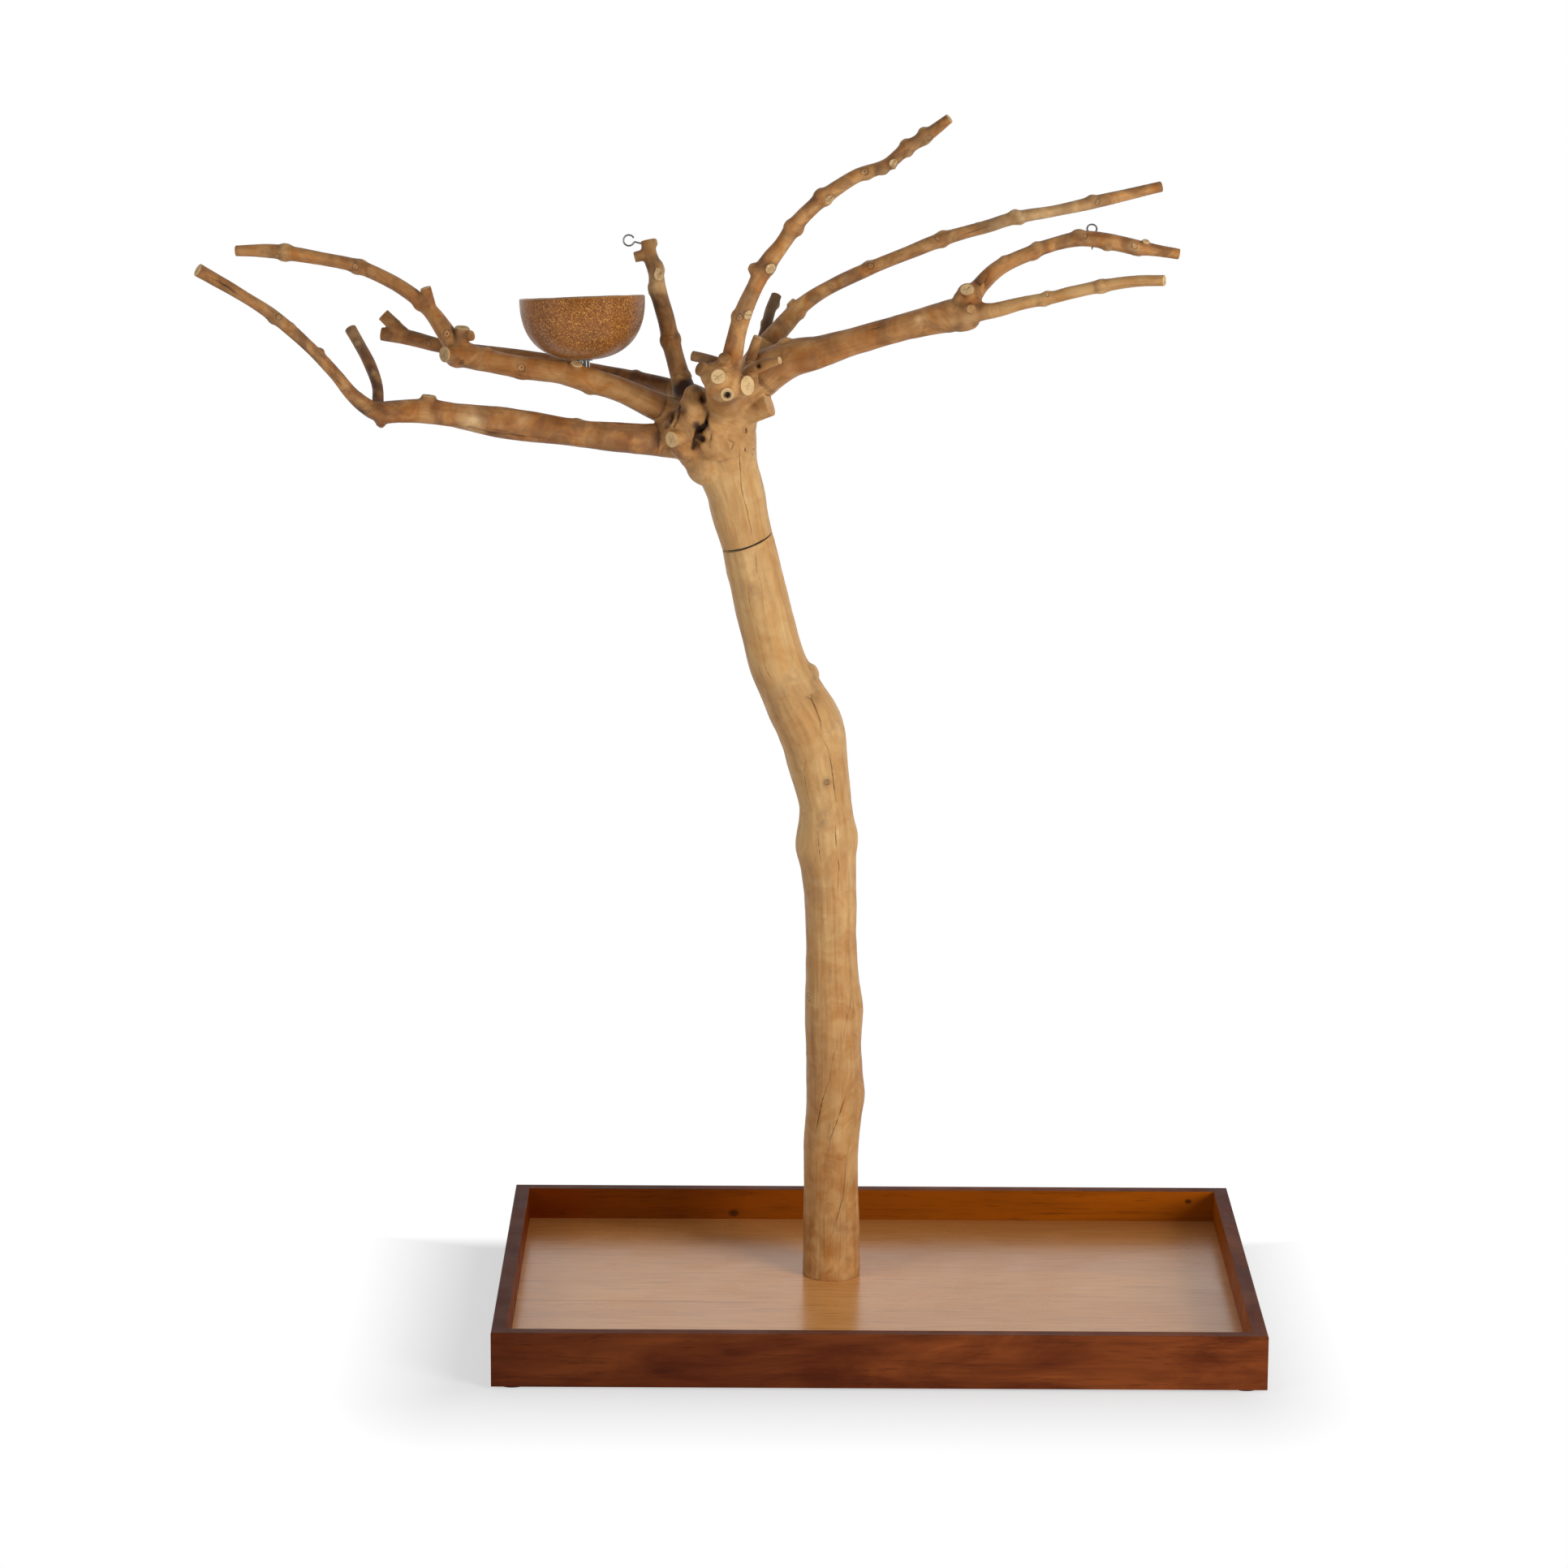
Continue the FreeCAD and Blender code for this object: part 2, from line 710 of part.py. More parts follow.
def make_screwed_joint(trunk, hub):
    """The threaded rod stays in the trunk, and the crown's insert turns on it."""
    axis = joint_axis()
    face = joint_face()
    rod_foot = face - axis * ROD_DEPTH_IN_TRUNK
    keep("crown_rod", rod(rod_foot, axis, ROD_DIAMETER, ROD_DEPTH_IN_TRUNK + ROD_REACH_ABOVE_JOINT))
    insert_foot = face - axis * ROD_INSERT_LENGTH
    lower_insert = tube(insert_foot, axis, ROD_INSERT_DIAMETER, ROD_DIAMETER, ROD_INSERT_LENGTH)
    keep("trunk_rod_insert", lower_insert)
    running = ROD_DIAMETER + 2 * THREAD_CLEARANCE
    washer = tube(face, axis, JOINT_WASHER_DIAMETER, running, JOINT_WASHER_THICKNESS)
    keep("joint_washer", washer)
    foot = crown_foot()
    upper_insert = tube(foot, axis, ROD_INSERT_DIAMETER, running, ROD_INSERT_LENGTH)
    keep("crown_rod_insert", upper_insert)

    trunk_bore = rod(rod_foot, axis, ROD_DIAMETER, ROD_DEPTH_IN_TRUNK)
    trunk_socket = rod(insert_foot, axis, ROD_INSERT_DIAMETER, ROD_INSERT_LENGTH)
    crown_bore = rod(foot, axis, running, ROD_REACH_ABOVE_JOINT + BORE_END_PLAY)
    crown_socket = rod(foot, axis, ROD_INSERT_DIAMETER, ROD_INSERT_LENGTH)
    return trunk.cut(trunk_bore).cut(trunk_socket), hub.cut(crown_bore).cut(crown_socket)


# ---- Bowl ----------------------------------------------------------------------

def bowl_axis():
    return leaning(BOWL_LEANS_LEFT, BOWL_LEANS_BACK)


def bowl_profile(radius, height, foot):
    """Points from the rim's outside down to the middle of the bottom, as a full, rounded cup."""
    points = []
    for step in range(BOWL_PROFILE_STEPS + 1):
        share = math.sin(math.pi / 2 * step / BOWL_PROFILE_STEPS)
        across = max(1 - share**BOWL_FULLNESS, 0) ** (1 / BOWL_FULLNESS)
        points.append(V(radius * across, 0, foot + height * (1 - share)))
    return points


def turned_cup(radius, height, foot):
    """A solid of revolution whose foot stands on the bowl's own plane."""
    points = bowl_profile(radius, height, foot)
    side = Part.BSplineCurve()
    side.interpolate(Points=points, InitialTangent=V(0, 0, -1), FinalTangent=V(-1, 0, 0))
    centre_line = Part.makeLine(points[-1], V(0, 0, foot + height))
    lid = Part.makeLine(V(0, 0, foot + height), points[0])
    face = Part.Face(Part.Wire([side.toShape(), centre_line, lid]))
    return face.revolve(V(0, 0, 0), UP, 360)


def make_bowl(limb):
    """The bowl, what it screws onto, and the flat that is cut on the limb."""
    axis = bowl_axis()
    centre, radius, grain = limb.station(BOWL_STATION)
    crest = radius / math.sqrt(1 - grain.dot(axis) ** 2)
    seat = centre + axis * (crest - BOWL_SEAT_FLAT)
    collar_top = seat + axis * BOWL_COLLAR_HEIGHT
    foot = collar_top + axis * BOWL_WASHER_THICKNESS
    running = BOWL_STUD_DIAMETER + 2 * THREAD_CLEARANCE

    stud_length = (foot - seat).Length + BOWL_STUD_DEPTH_IN_LIMB + BOWL_STUD_REACH
    stud_foot = seat - axis * BOWL_STUD_DEPTH_IN_LIMB
    keep("bowl_stud", rod(stud_foot, axis, BOWL_STUD_DIAMETER, stud_length))
    keep("bowl_collar", tube(seat, axis, BOWL_COLLAR_DIAMETER, BOWL_STUD_DIAMETER, BOWL_COLLAR_HEIGHT))
    keep("bowl_washer", tube(collar_top, axis, BOWL_WASHER_DIAMETER, running, BOWL_WASHER_THICKNESS))
    keep("bowl_insert", tube(foot, axis, BOWL_INSERT_DIAMETER, running, BOWL_INSERT_LENGTH))

    inner_foot = BOWL_WALL - BOWL_FOOT_FLAT
    cup = turned_cup(BOWL_RADIUS, BOWL_HEIGHT, -BOWL_FOOT_FLAT)
    hollow = turned_cup(BOWL_RADIUS - BOWL_WALL, BOWL_HEIGHT - BOWL_WALL, inner_foot)
    boss = rod(V(0, 0, 0), UP, BOWL_BOSS_DIAMETER, inner_foot + BOWL_BOSS_RISE)
    bowl = cup.cut(hollow).fuse(boss).removeSplitter()
    bowl = bowl.cut(rod(V(0, 0, -BOWL_HEIGHT), UP, BOWL_RADIUS, BOWL_HEIGHT))
    bowl = bowl.cut(rod(V(0, 0, 0), UP, BOWL_INSERT_DIAMETER, BOWL_INSERT_LENGTH))
    bowl.Placement = FreeCAD.Placement(foot, FreeCAD.Rotation(UP, axis))
    keep("bowl", bowl)

    seat_diameter = BOWL_COLLAR_DIAMETER + 2 * BOWL_SEAT_CLEARANCE
    flat = rod(seat, axis, seat_diameter, 2 * radius)
    socket = rod(stud_foot, axis, BOWL_STUD_DIAMETER, BOWL_STUD_DEPTH_IN_LIMB)
    return flat.fuse(socket)


# ---- Screw eyes ------------------------------------------------------------------

def screw_eye(centre, inward, ring_diameter, gap_degrees):
    """A wire ring seen full from the front, with a pointed shank that leaves it inward."""
    outward_turn = AWAY.cross(inward).normalize()
    normal = inward.cross(outward_turn).normalize()
    ring = Part.makeTorus(
        ring_diameter / 2, EYE_WIRE_DIAMETER / 2, V(0, 0, 0), UP, 0, 360, 360 - gap_degrees
    )
    frame = FreeCAD.Rotation(inward, outward_turn, normal, "XYZ")
    ring.Placement = FreeCAD.Placement(centre, frame)
    start = centre + inward * (ring_diameter / 2)
    shank_length = EYE_SHANK_LENGTH - EYE_WIRE_DIAMETER
    shank = rod(start, inward, EYE_WIRE_DIAMETER, shank_length)
    tip = Part.makeCone(
        EYE_WIRE_DIAMETER / 2, 0, EYE_WIRE_DIAMETER, start + inward * shank_length, inward
    )
    return ring.fuse(shank).fuse(tip)


def make_left_eye(limb):
    """An open eye beside the tip of the hook limb, pointing left."""
    tip, radius, grain = limb.station(len(HOOK_COURSE) - 1)
    rise = math.radians(LEFT_EYE_RISES)
    outward = V(-math.cos(rise), 0, math.sin(rise))
    entry = tip - grain * LEFT_EYE_BELOW_TIP
    centre = entry + outward * LEFT_EYE_STANDS_OFF
    return keep(
        "screw_eye_left",
        screw_eye(centre, outward * -1, LEFT_EYE_RING_DIAMETER, LEFT_EYE_GAP_DEGREES),
    )


def make_right_eye(limb):
    """A closed eye on the upper right arm, a little behind its crest."""
    centre, radius, grain = limb.station(RIGHT_EYE_STATION)
    around = math.radians(RIGHT_EYE_ROUND_THE_WOOD)
    entry = centre + grain * RIGHT_EYE_PAST_STATION
    entry = entry + V(0, radius * math.sin(around), radius * math.cos(around))
    lean = math.radians(RIGHT_EYE_LEANS_BACK)
    outward = V(0, math.sin(lean), math.cos(lean))
    ring_reach = RIGHT_EYE_RING_DIAMETER / 2 + EYE_WIRE_DIAMETER / 2
    ring_centre = entry + outward * (ring_reach - RIGHT_EYE_SINKS)
    return keep(
        "screw_eye_right",
        screw_eye(ring_centre, outward * -1, RIGHT_EYE_RING_DIAMETER, 0),
    )


# ---- Crown ---------------------------------------------------------------------

def make_neck():
    course = [overrun_station(NECK_COURSE, 0, -1)] + NECK_COURSE
    stations = faired(placed(course, crown_foot()))
    neck = round_wood(stations, tangents(stations), 0, len(stations) - 1)
    return neck.cut(beyond(crown_foot(), joint_axis() * -1, 4 * JOINT_OVERRUN))


def make_crown():
    """Every limb of the crown, its parent, and the dowel screw at its butt face."""
    origin = crown_foot()
    limbs = {
        "limb_right_main": Limb(RIGHT_MAIN_COURSE, origin, RIGHT_MAIN_BUTT),
        "limb_right_outer": Limb(RIGHT_OUTER_COURSE, origin, RIGHT_OUTER_BUTT),
        "front_knuckle": Limb(KNUCKLE_COURSE, origin, KNUCKLE_BUTT),
        "limb_lower_left": Limb(LOWER_LEFT_COURSE, origin, LOWER_LEFT_BUTT),
        "limb_bowl": Limb(BOWL_LIMB_COURSE, origin, BOWL_LIMB_BUTT),
        "limb_back_left": Limb(BACK_LEFT_COURSE, origin, BACK_LEFT_BUTT),
        "limb_hook": Limb(HOOK_COURSE, origin, HOOK_BUTT),
    }
    branches = {
        "arm_right_upper": ("limb_right_main", Limb(RIGHT_UPPER_ARM_COURSE, origin, RIGHT_ARM_BUTT)),
        "arm_right_lower": ("limb_right_main", Limb(RIGHT_LOWER_ARM_COURSE, origin, RIGHT_ARM_BUTT)),
        "limb_tall": ("front_knuckle", Limb(TALL_COURSE, origin, TALL_BUTT)),
        "twig_knuckle": ("front_knuckle", Limb(KNUCKLE_TWIG_COURSE, origin, TWIG_BUTT)),
        "arm_lower_left": ("limb_lower_left", Limb(LOWER_LEFT_ARM_COURSE, origin, LOWER_LEFT_ARM_BUTT)),
        "twig_lower_left": ("limb_lower_left", Limb(LOWER_LEFT_TWIG_COURSE, origin, TWIG_BUTT)),
        "twig_upper_left": ("limb_bowl", Limb(UPPER_LEFT_TWIG_COURSE, origin, UPPER_LEFT_TWIG_BUTT)),
        "twig_rear": ("crown_hub", Limb(REAR_TWIG_COURSE, origin, TWIG_BUTT)),
        "stub_short": ("crown_hub", Limb(SHORT_STUB_COURSE, origin, TWIG_BUTT)),
        "stub_split": ("crown_hub", Limb(SPLIT_STUB_COURSE, origin, TWIG_BUTT)),
    }
    hub = make_neck()
    for limb in limbs.values():
        hub = hub.fuse(limb.root)
    wood = {"crown_hub": hub}
    for name, limb in limbs.items():
        wood[name] = limb.wood
    for name, (parent, limb) in branches.items():
        wood[parent] = wood[parent].fuse(limb.root)
        wood[name] = limb.wood
    for name, swellings in SWELLINGS.items():
        for x, y, z, diameter in swellings:
            wood[name] = wood[name].fuse(Part.makeSphere(diameter / 2, origin + V(x, y, z)))
    for name, shoots in CUT_SHOOTS.items():
        for start, end, diameter in shoots:
            run = V(*end) - V(*start)
            wood[name] = wood[name].fuse(rod(origin + V(*start), run, diameter, run.Length))
    return wood, limbs, branches


def make_dowels(wood, limbs, branches):
    """A dowel screw across each butt face, half in the parent and half in the limb."""
    limb_dowels = []
    for limb in limbs.values():
        limb_dowels.append(limb.dowel(LIMB_DOWEL_DIAMETER, LIMB_DOWEL_LENGTH))
    twig_dowels = []
    for parent, limb in branches.values():
        twig_dowels.append(limb.dowel(TWIG_DOWEL_DIAMETER, TWIG_DOWEL_LENGTH))
    for name in wood:
        for dowel in limb_dowels + twig_dowels:
            if wood[name].BoundBox.intersect(dowel.BoundBox):
                wood[name] = wood[name].cut(dowel)
    keep("limb_dowels", group(limb_dowels))
    keep("twig_dowels", group(twig_dowels))


def settle_wood(wood):
    """Where two pieces would share space, the one named first keeps it."""
    names = list(wood)
    for index, name in enumerate(names):
        for earlier in names[:index]:
            if wood[name].BoundBox.intersect(wood[earlier].BoundBox):
                shared = wood[name].common(wood[earlier])
                if shared.Volume > 0.5:
                    wood[name] = wood[name].cut(wood[earlier])
                    print("trimmed", name, "by", earlier, round(shared.Volume, 1), "mm3")
    return wood


def main():
    os.makedirs("parts", exist_ok=True)
    panel = make_tray()
    trunk = make_trunk_fixing(panel, make_trunk())
    wood, limbs, branches = make_crown()
    trunk, wood["crown_hub"] = make_screwed_joint(trunk, wood["crown_hub"])
    wood = settle_wood(wood)
    make_dowels(wood, limbs, branches)
    wood["limb_bowl"] = wood["limb_bowl"].cut(make_bowl(limbs["limb_bowl"]))
    wood["limb_hook"] = wood["limb_hook"].cut(make_left_eye(limbs["limb_hook"]))
    upper_arm = branches["arm_right_upper"][1]
    wood["arm_right_upper"] = wood["arm_right_upper"].cut(make_right_eye(upper_arm))
    keep("lower_trunk", trunk)
    for name, shape in wood.items():
        keep(name, shape)
    for name, shape in PARTS.items():
        print(name, len(shape.Solids), round(shape.Volume / 1000, 2), "cm3", shape.isValid())
        shape.exportStep("parts/" + name + ".step")


main()
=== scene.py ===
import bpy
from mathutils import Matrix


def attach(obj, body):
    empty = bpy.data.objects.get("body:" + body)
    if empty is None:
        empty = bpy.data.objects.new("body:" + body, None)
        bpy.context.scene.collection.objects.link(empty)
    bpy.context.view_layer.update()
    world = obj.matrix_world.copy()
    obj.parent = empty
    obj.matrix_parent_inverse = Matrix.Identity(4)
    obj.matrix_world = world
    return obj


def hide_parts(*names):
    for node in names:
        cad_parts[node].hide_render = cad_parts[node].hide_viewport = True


bl_info = {
    "name": "Parrot Play Stand",
    "version": (1, 0, 0),
    "blender": (4, 5, 0),
    "location": "3D View > Sidebar > Play Stand",
    "description": "A parrot play stand: a debarked tree on a stained tray, with a bowl and screw eyes",
    "category": "Add Mesh",
}

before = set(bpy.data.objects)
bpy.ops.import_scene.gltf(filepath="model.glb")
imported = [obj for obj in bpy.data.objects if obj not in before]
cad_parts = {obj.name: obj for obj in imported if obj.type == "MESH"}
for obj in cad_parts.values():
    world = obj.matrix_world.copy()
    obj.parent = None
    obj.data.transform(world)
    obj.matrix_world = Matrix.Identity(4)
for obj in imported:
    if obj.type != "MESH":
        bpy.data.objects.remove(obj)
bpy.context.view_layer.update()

import itertools
import math

import bmesh
import bpy
import numpy as np
from bpy.props import FloatProperty, FloatVectorProperty, PointerProperty
from mathutils import Euler, Matrix, Vector

MM = 0.001

# ---- Places that the frame fixes ---------------------------------------------------
TRUNK_FOOT = Vector((-45, 50, 25)) * MM
JOINT_FACE = TRUNK_FOOT + Vector((-89.5, -25.5, 772)) * MM
JOINT_LEANS_LEFT = 20.0
JOINT_LEANS_FORWARD = 7.0
JOINT_WASHER_THICKNESS = 2.0 * MM
TRAY_LENGTH = 762 * MM
TRAY_DEPTH = 508 * MM
RAIL_THICKNESS = 15 * MM
BOWL_FOOT = Vector((-295.99, 14.38, 980.41)) * MM
BOWL_LEANS_LEFT = 2.5
BOWL_LEANS_BACK = 6.5
BOWL_BORE = 12 * MM
BOWL_BORE_DEPTH = 11 * MM
BOWL_BOSS = 24 * MM
BOWL_BOSS_TOP = 11.8 * MM

# ---- Courses of the wood: right, away, up and diameter, in millimetres ----------------
# The trunk is measured from its foot, and the crown from the middle of its own foot.
TRUNK = [
    (0, 0, 0, 59.5), (0, 1, 59, 58), (0, 1, 129, 56.5), (2, 1, 194, 58), (1, 1, 268, 57.5),
    (-2, 1, 336, 54), (-4, 1, 405, 54), (-7, 0, 452, 59), (-9, 0, 498, 53), (-17, -2, 541, 62),
    (-24, -4, 575, 67), (-40, -7, 608, 63), (-57, -10, 642, 58), (-68, -14, 681, 56.5),
    (-78, -19, 726, 55), (-89.5, -25.5, 772, 53),
]
NECK = [
    (0, 0, 0, 53), (-7, -2, 27, 55.5), (-11, -4, 50, 57.5), (-19, -6, 75, 63), (-24, -8, 103, 70),
    (-24, -8, 126, 60),
]
RIGHT_MAIN = [
    (-20, -8, 112, 58), (-9, -12, 147, 53), (15, -20, 169, 44), (43, -28, 186, 37),
    (72, -36, 194, 31.5), (106, -44, 206, 27.5), (158, -57, 223, 26.5), (201, -68, 235, 32),
    (224, -74, 240, 27),
]
RIGHT_UPPER_ARM = [
    (212, -70, 243, 24), (228, -67, 264, 16.7), (246, -64, 281, 15.7), (271, -60, 293, 14.7),
    (301, -56, 304, 13.7), (327, -53, 309, 15.2), (352, -50, 306.5, 15.7), (377, -47, 301, 15.2),
    (401, -44, 297, 11.7), (424, -42, 293, 10.7),
]
RIGHT_LOWER_ARM = [
    (214, -74, 238, 21.6), (242, -82, 242, 14.7), (268, -92, 250, 12.7), (300, -104, 258, 12.7),
    (315, -110, 263, 12.7), (346, -120, 271, 12.2), (376, -132, 277, 11.2), (403, -142, 279, 10.7),
]
RIGHT_OUTER = [
    (-14, -6, 140, 34), (4, 0, 172, 27), (20, 10, 195, 21.6), (39, 22, 216, 19.6), (53, 28, 231, 16.2),
    (80, 38, 248, 13.7), (121, 52, 266, 14.2), (161, 64, 281, 13.2), (191, 74, 292, 14.7),
    (219, 82, 300, 12.7), (240, 88, 305, 13.7), (268, 96, 313, 13.2), (309, 108, 319, 11.7),
    (346, 118, 326, 13.2), (380, 128, 333, 11.7), (418, 138, 341, 10.7),
]
KNUCKLE = [
    (-20, -4, 130, 44), (-21, -34, 147, 38), (-22, -62, 159, 36), (-22, -86, 169, 36),
    (-20, -106, 175, 32),
]
TALL = [
    (-20, -84, 158, 28), (-16, -92, 184, 23), (-13, -94, 199, 20.1), (-9, -97, 220, 18.2),
    (-3, -100, 241, 18.2), (8, -104, 266, 16.7), (18, -108, 286, 18.2), (34, -112, 308, 14.7),
    (49, -116, 330, 15.7), (63, -120, 345, 14.7), (77, -124, 357.5, 15.2), (106, -130, 377, 13.7),
    (134, -136, 388, 12.7), (152, -141, 403.5, 13.2), (172, -145, 417, 12.6), (194, -150, 434.5, 9.7),
]
LOWER_LEFT = [
    (-26, -8, 100, 56), (-56, -14, 103, 45), (-90, -22, 104, 34), (-120, -32, 107, 29),
    (-157, -44, 112, 27), (-208, -60, 122, 26.5), (-247, -74, 129, 25.5), (-286, -88, 137, 22),
    (-312, -97, 142, 25), (-340, -106, 143, 22.5), (-361, -114, 142, 22),
]
LOWER_LEFT_ARM = [
    (-352, -111, 142, 20.6), (-366, -116, 147, 17.2), (-383, -121, 162, 13.7), (-399, -126, 183, 12.2),
    (-426, -134, 213, 11.7), (-457, -144, 242, 12.2), (-488, -155, 264, 11.7), (-511, -164, 279, 12.2),
    (-525, -170, 288, 12.7),
]
LOWER_LEFT_TWIG = [
    (-360, -111, 138, 12.2), (-360, -90, 162, 10.7), (-368, -72, 182, 11.7), (-380, -54, 201, 11.7),
    (-390, -44, 216, 11.7),
]
BOWL_LIMB = [
    (-28, -6, 108, 46), (-57, -3, 119, 37), (-85, -6, 132, 29), (-121, -10, 150, 25),
    (-160, -12, 163, 25), (-185, -12, 169, 23), (-226, -10, 174, 23), (-258, -7, 180, 23.5),
    (-285, -4, 187, 26),
]
UPPER_LEFT_TWIG = [
    (-279, -5, 186, 24), (-290, -4, 195, 20.6), (-300, 0, 209, 18.2), (-315, 6, 228, 16.2),
    (-333, 12, 243, 14.7), (-359, 18, 258, 13.7), (-390, 24, 270, 14.2), (-425, 32, 276, 13.2),
    (-462, 40, 281, 14.7), (-487, 46, 282, 13.2), (-511, 51, 281, 11.2),
]
BACK_LEFT = [
    (-24, 4, 122, 28), (-47, 24, 138, 24), (-77, 42, 147, 18.7), (-115, 60, 154, 15.7),
    (-158, 76, 160, 14.2), (-214, 92, 169, 13.7), (-264, 104, 173, 14.2), (-314, 114, 179, 14.2),
    (-345, 120, 186, 15.2), (-372, 124, 189, 13.2),
]
HOOK = [
    (-44, 0, 112, 30), (-57, 6, 134, 26), (-66, 20, 160, 19.4), (-74.5, 30, 189, 18.4),
    (-81, 40, 215, 17.2), (-89, 50, 242, 17.7), (-92, 56, 261, 15.7), (-98, 62, 278, 15.7),
    (-101, 66, 292, 13.2),
]
REAR_TWIG = [
    (-6, 4, 150, 19.6), (5, 25, 175, 14.2), (14, 37, 192, 12.2), (19, 48, 208, 11.2),
    (23, 60, 223, 11.2), (29, 70, 237, 10.7),
]
KNUCKLE_TWIG = [
    (-22, -84, 182, 12.2), (-30, -82, 189, 11.2), (-42, -80, 193, 10.2), (-53, -76, 195, 10.2),
]
SHORT_STUB = [(-2, -30, 162, 14), (4, -31, 184, 12.5), (7, -32, 196, 10.5), (11, -33, 209, 9)]
SPLIT_STUB = [(-4, -22, 160, 16), (5, -46, 177, 13), (18, -60, 185, 11), (33, -68, 190, 7)]

# Each limb: its course, the station where its own wood begins, the piece that it grows from,
# how warm and how dark its wood is, and whether its end was sawn.
LIMBS = {
    "limb_right_main": (RIGHT_MAIN, 2, "crown_hub", 0.60, 0.12, False),
    "limb_right_outer": (RIGHT_OUTER, 2, "crown_hub", 0.62, 0.20, True),
    "front_knuckle": (KNUCKLE, 1, "crown_hub", 0.40, 0.0, False),
    "limb_lower_left": (LOWER_LEFT, 2, "crown_hub", 0.85, 0.22, False),
    "limb_bowl": (BOWL_LIMB, 2, "crown_hub", 0.70, 0.03, False),
    "limb_back_left": (BACK_LEFT, 2, "crown_hub", 0.80, 0.44, True),
    "limb_hook": (HOOK, 2, "crown_hub", 0.80, 0.48, True),
    "arm_right_upper": (RIGHT_UPPER_ARM, 1, "limb_right_main", 0.78, 0.26, True),
    "arm_right_lower": (RIGHT_LOWER_ARM, 1, "limb_right_main", 0.30, 0.0, True),
    "limb_tall": (TALL, 1, "front_knuckle", 0.60, 0.22, True),
    "twig_knuckle": (KNUCKLE_TWIG, 1, "front_knuckle", 0.50, 0.45, True),
    "arm_lower_left": (LOWER_LEFT_ARM, 1, "limb_lower_left", 0.80, 0.38, True),
    "twig_lower_left": (LOWER_LEFT_TWIG, 1, "limb_lower_left", 0.60, 0.80, True),
    "twig_upper_left": (UPPER_LEFT_TWIG, 1, "limb_bowl", 0.75, 0.18, True),
    "twig_rear": (REAR_TWIG, 1, "crown_hub", 0.50, 0.95, True),
    "stub_short": (SHORT_STUB, 1, "crown_hub", 0.55, 0.30, True),
    "stub_split": (SPLIT_STUB, 1, "crown_hub", 0.15, 0.0, True),
}
# Balls that fill out the wood where limbs meet: right, away and up of the crown's foot, and diameter.
SWELLINGS = {
    "crown_hub": [
        (-62, -28, 116, 44), (-50, -20, 90, 38), (-38, -16, 80, 48), (-48, -16, 97, 46),
        (-60, -37, 98, 28), (-58, -38, 112, 28), (-56, -38, 126, 28), (-54, -36, 139, 26),
        (-52, -31, 149, 22), (-36, -36, 100, 30), (-34, -34, 116, 28), (-30, -30, 132, 26),
    ],
    "limb_right_main": [
        (216, -70, 256, 22), (209, -72, 252, 15), (222, -73, 250, 16), (215, -80, 258, 9),
    ],
    "front_knuckle": [
        (-22, -92, 168, 34), (-22, -100, 171, 37), (-31, -95, 178, 26), (-8, -97, 167, 26),
        (-21, -97, 185, 22),
    ],
    "limb_bowl": [(-287, -8, 186, 27), (-283, -9, 199, 15), (-277, -9, 207, 9)],
}
# Side shoots that were cut off: foot, tip, diameter, and whether sawn pale, grown over or bored.
CUT_SHOOTS = {
    "crown_hub": [
        ((-62, -44, 110), (-74, -57, 109), 16.5, "sawn"),
        ((-10, -20, 127), (23, -29, 141), 24, "grown"),
    ],
    "front_knuckle": [
        ((-22, -90, 172), (-27, -122, 181), 14.5, "sawn"),
        ((-14, -92, 167), (2, -107, 170), 20, "sawn"),
        ((-20, -90, 165), (-18, -120, 163), 13.5, "bored"),
        ((-28, -88, 176), (-45, -100, 186), 13, "grown"),
        ((-22, -88, 182), (-21, -112, 198), 12, "grown"),
    ],
    "limb_right_main": [
        ((218, -74, 244), (219, -91, 244), 10, "grown"), ((217, -68, 250), (215, -80, 262), 14, "sawn"),
    ],
    "limb_bowl": [
        ((-284, -8, 186), (-299, -23, 188), 15, "sawn"), ((-284, -5, 192), (-282, -8, 213), 14, "sawn"),
        ((-283, -8, 203), (-272, -16, 206), 10, "grown"),
    ],
    "twig_upper_left": [((-313, 5, 230), (-319, 4, 251), 11, "sawn")],
    "limb_back_left": [((-348, 120, 188), (-370, 122, 209), 13, "sawn")],
}

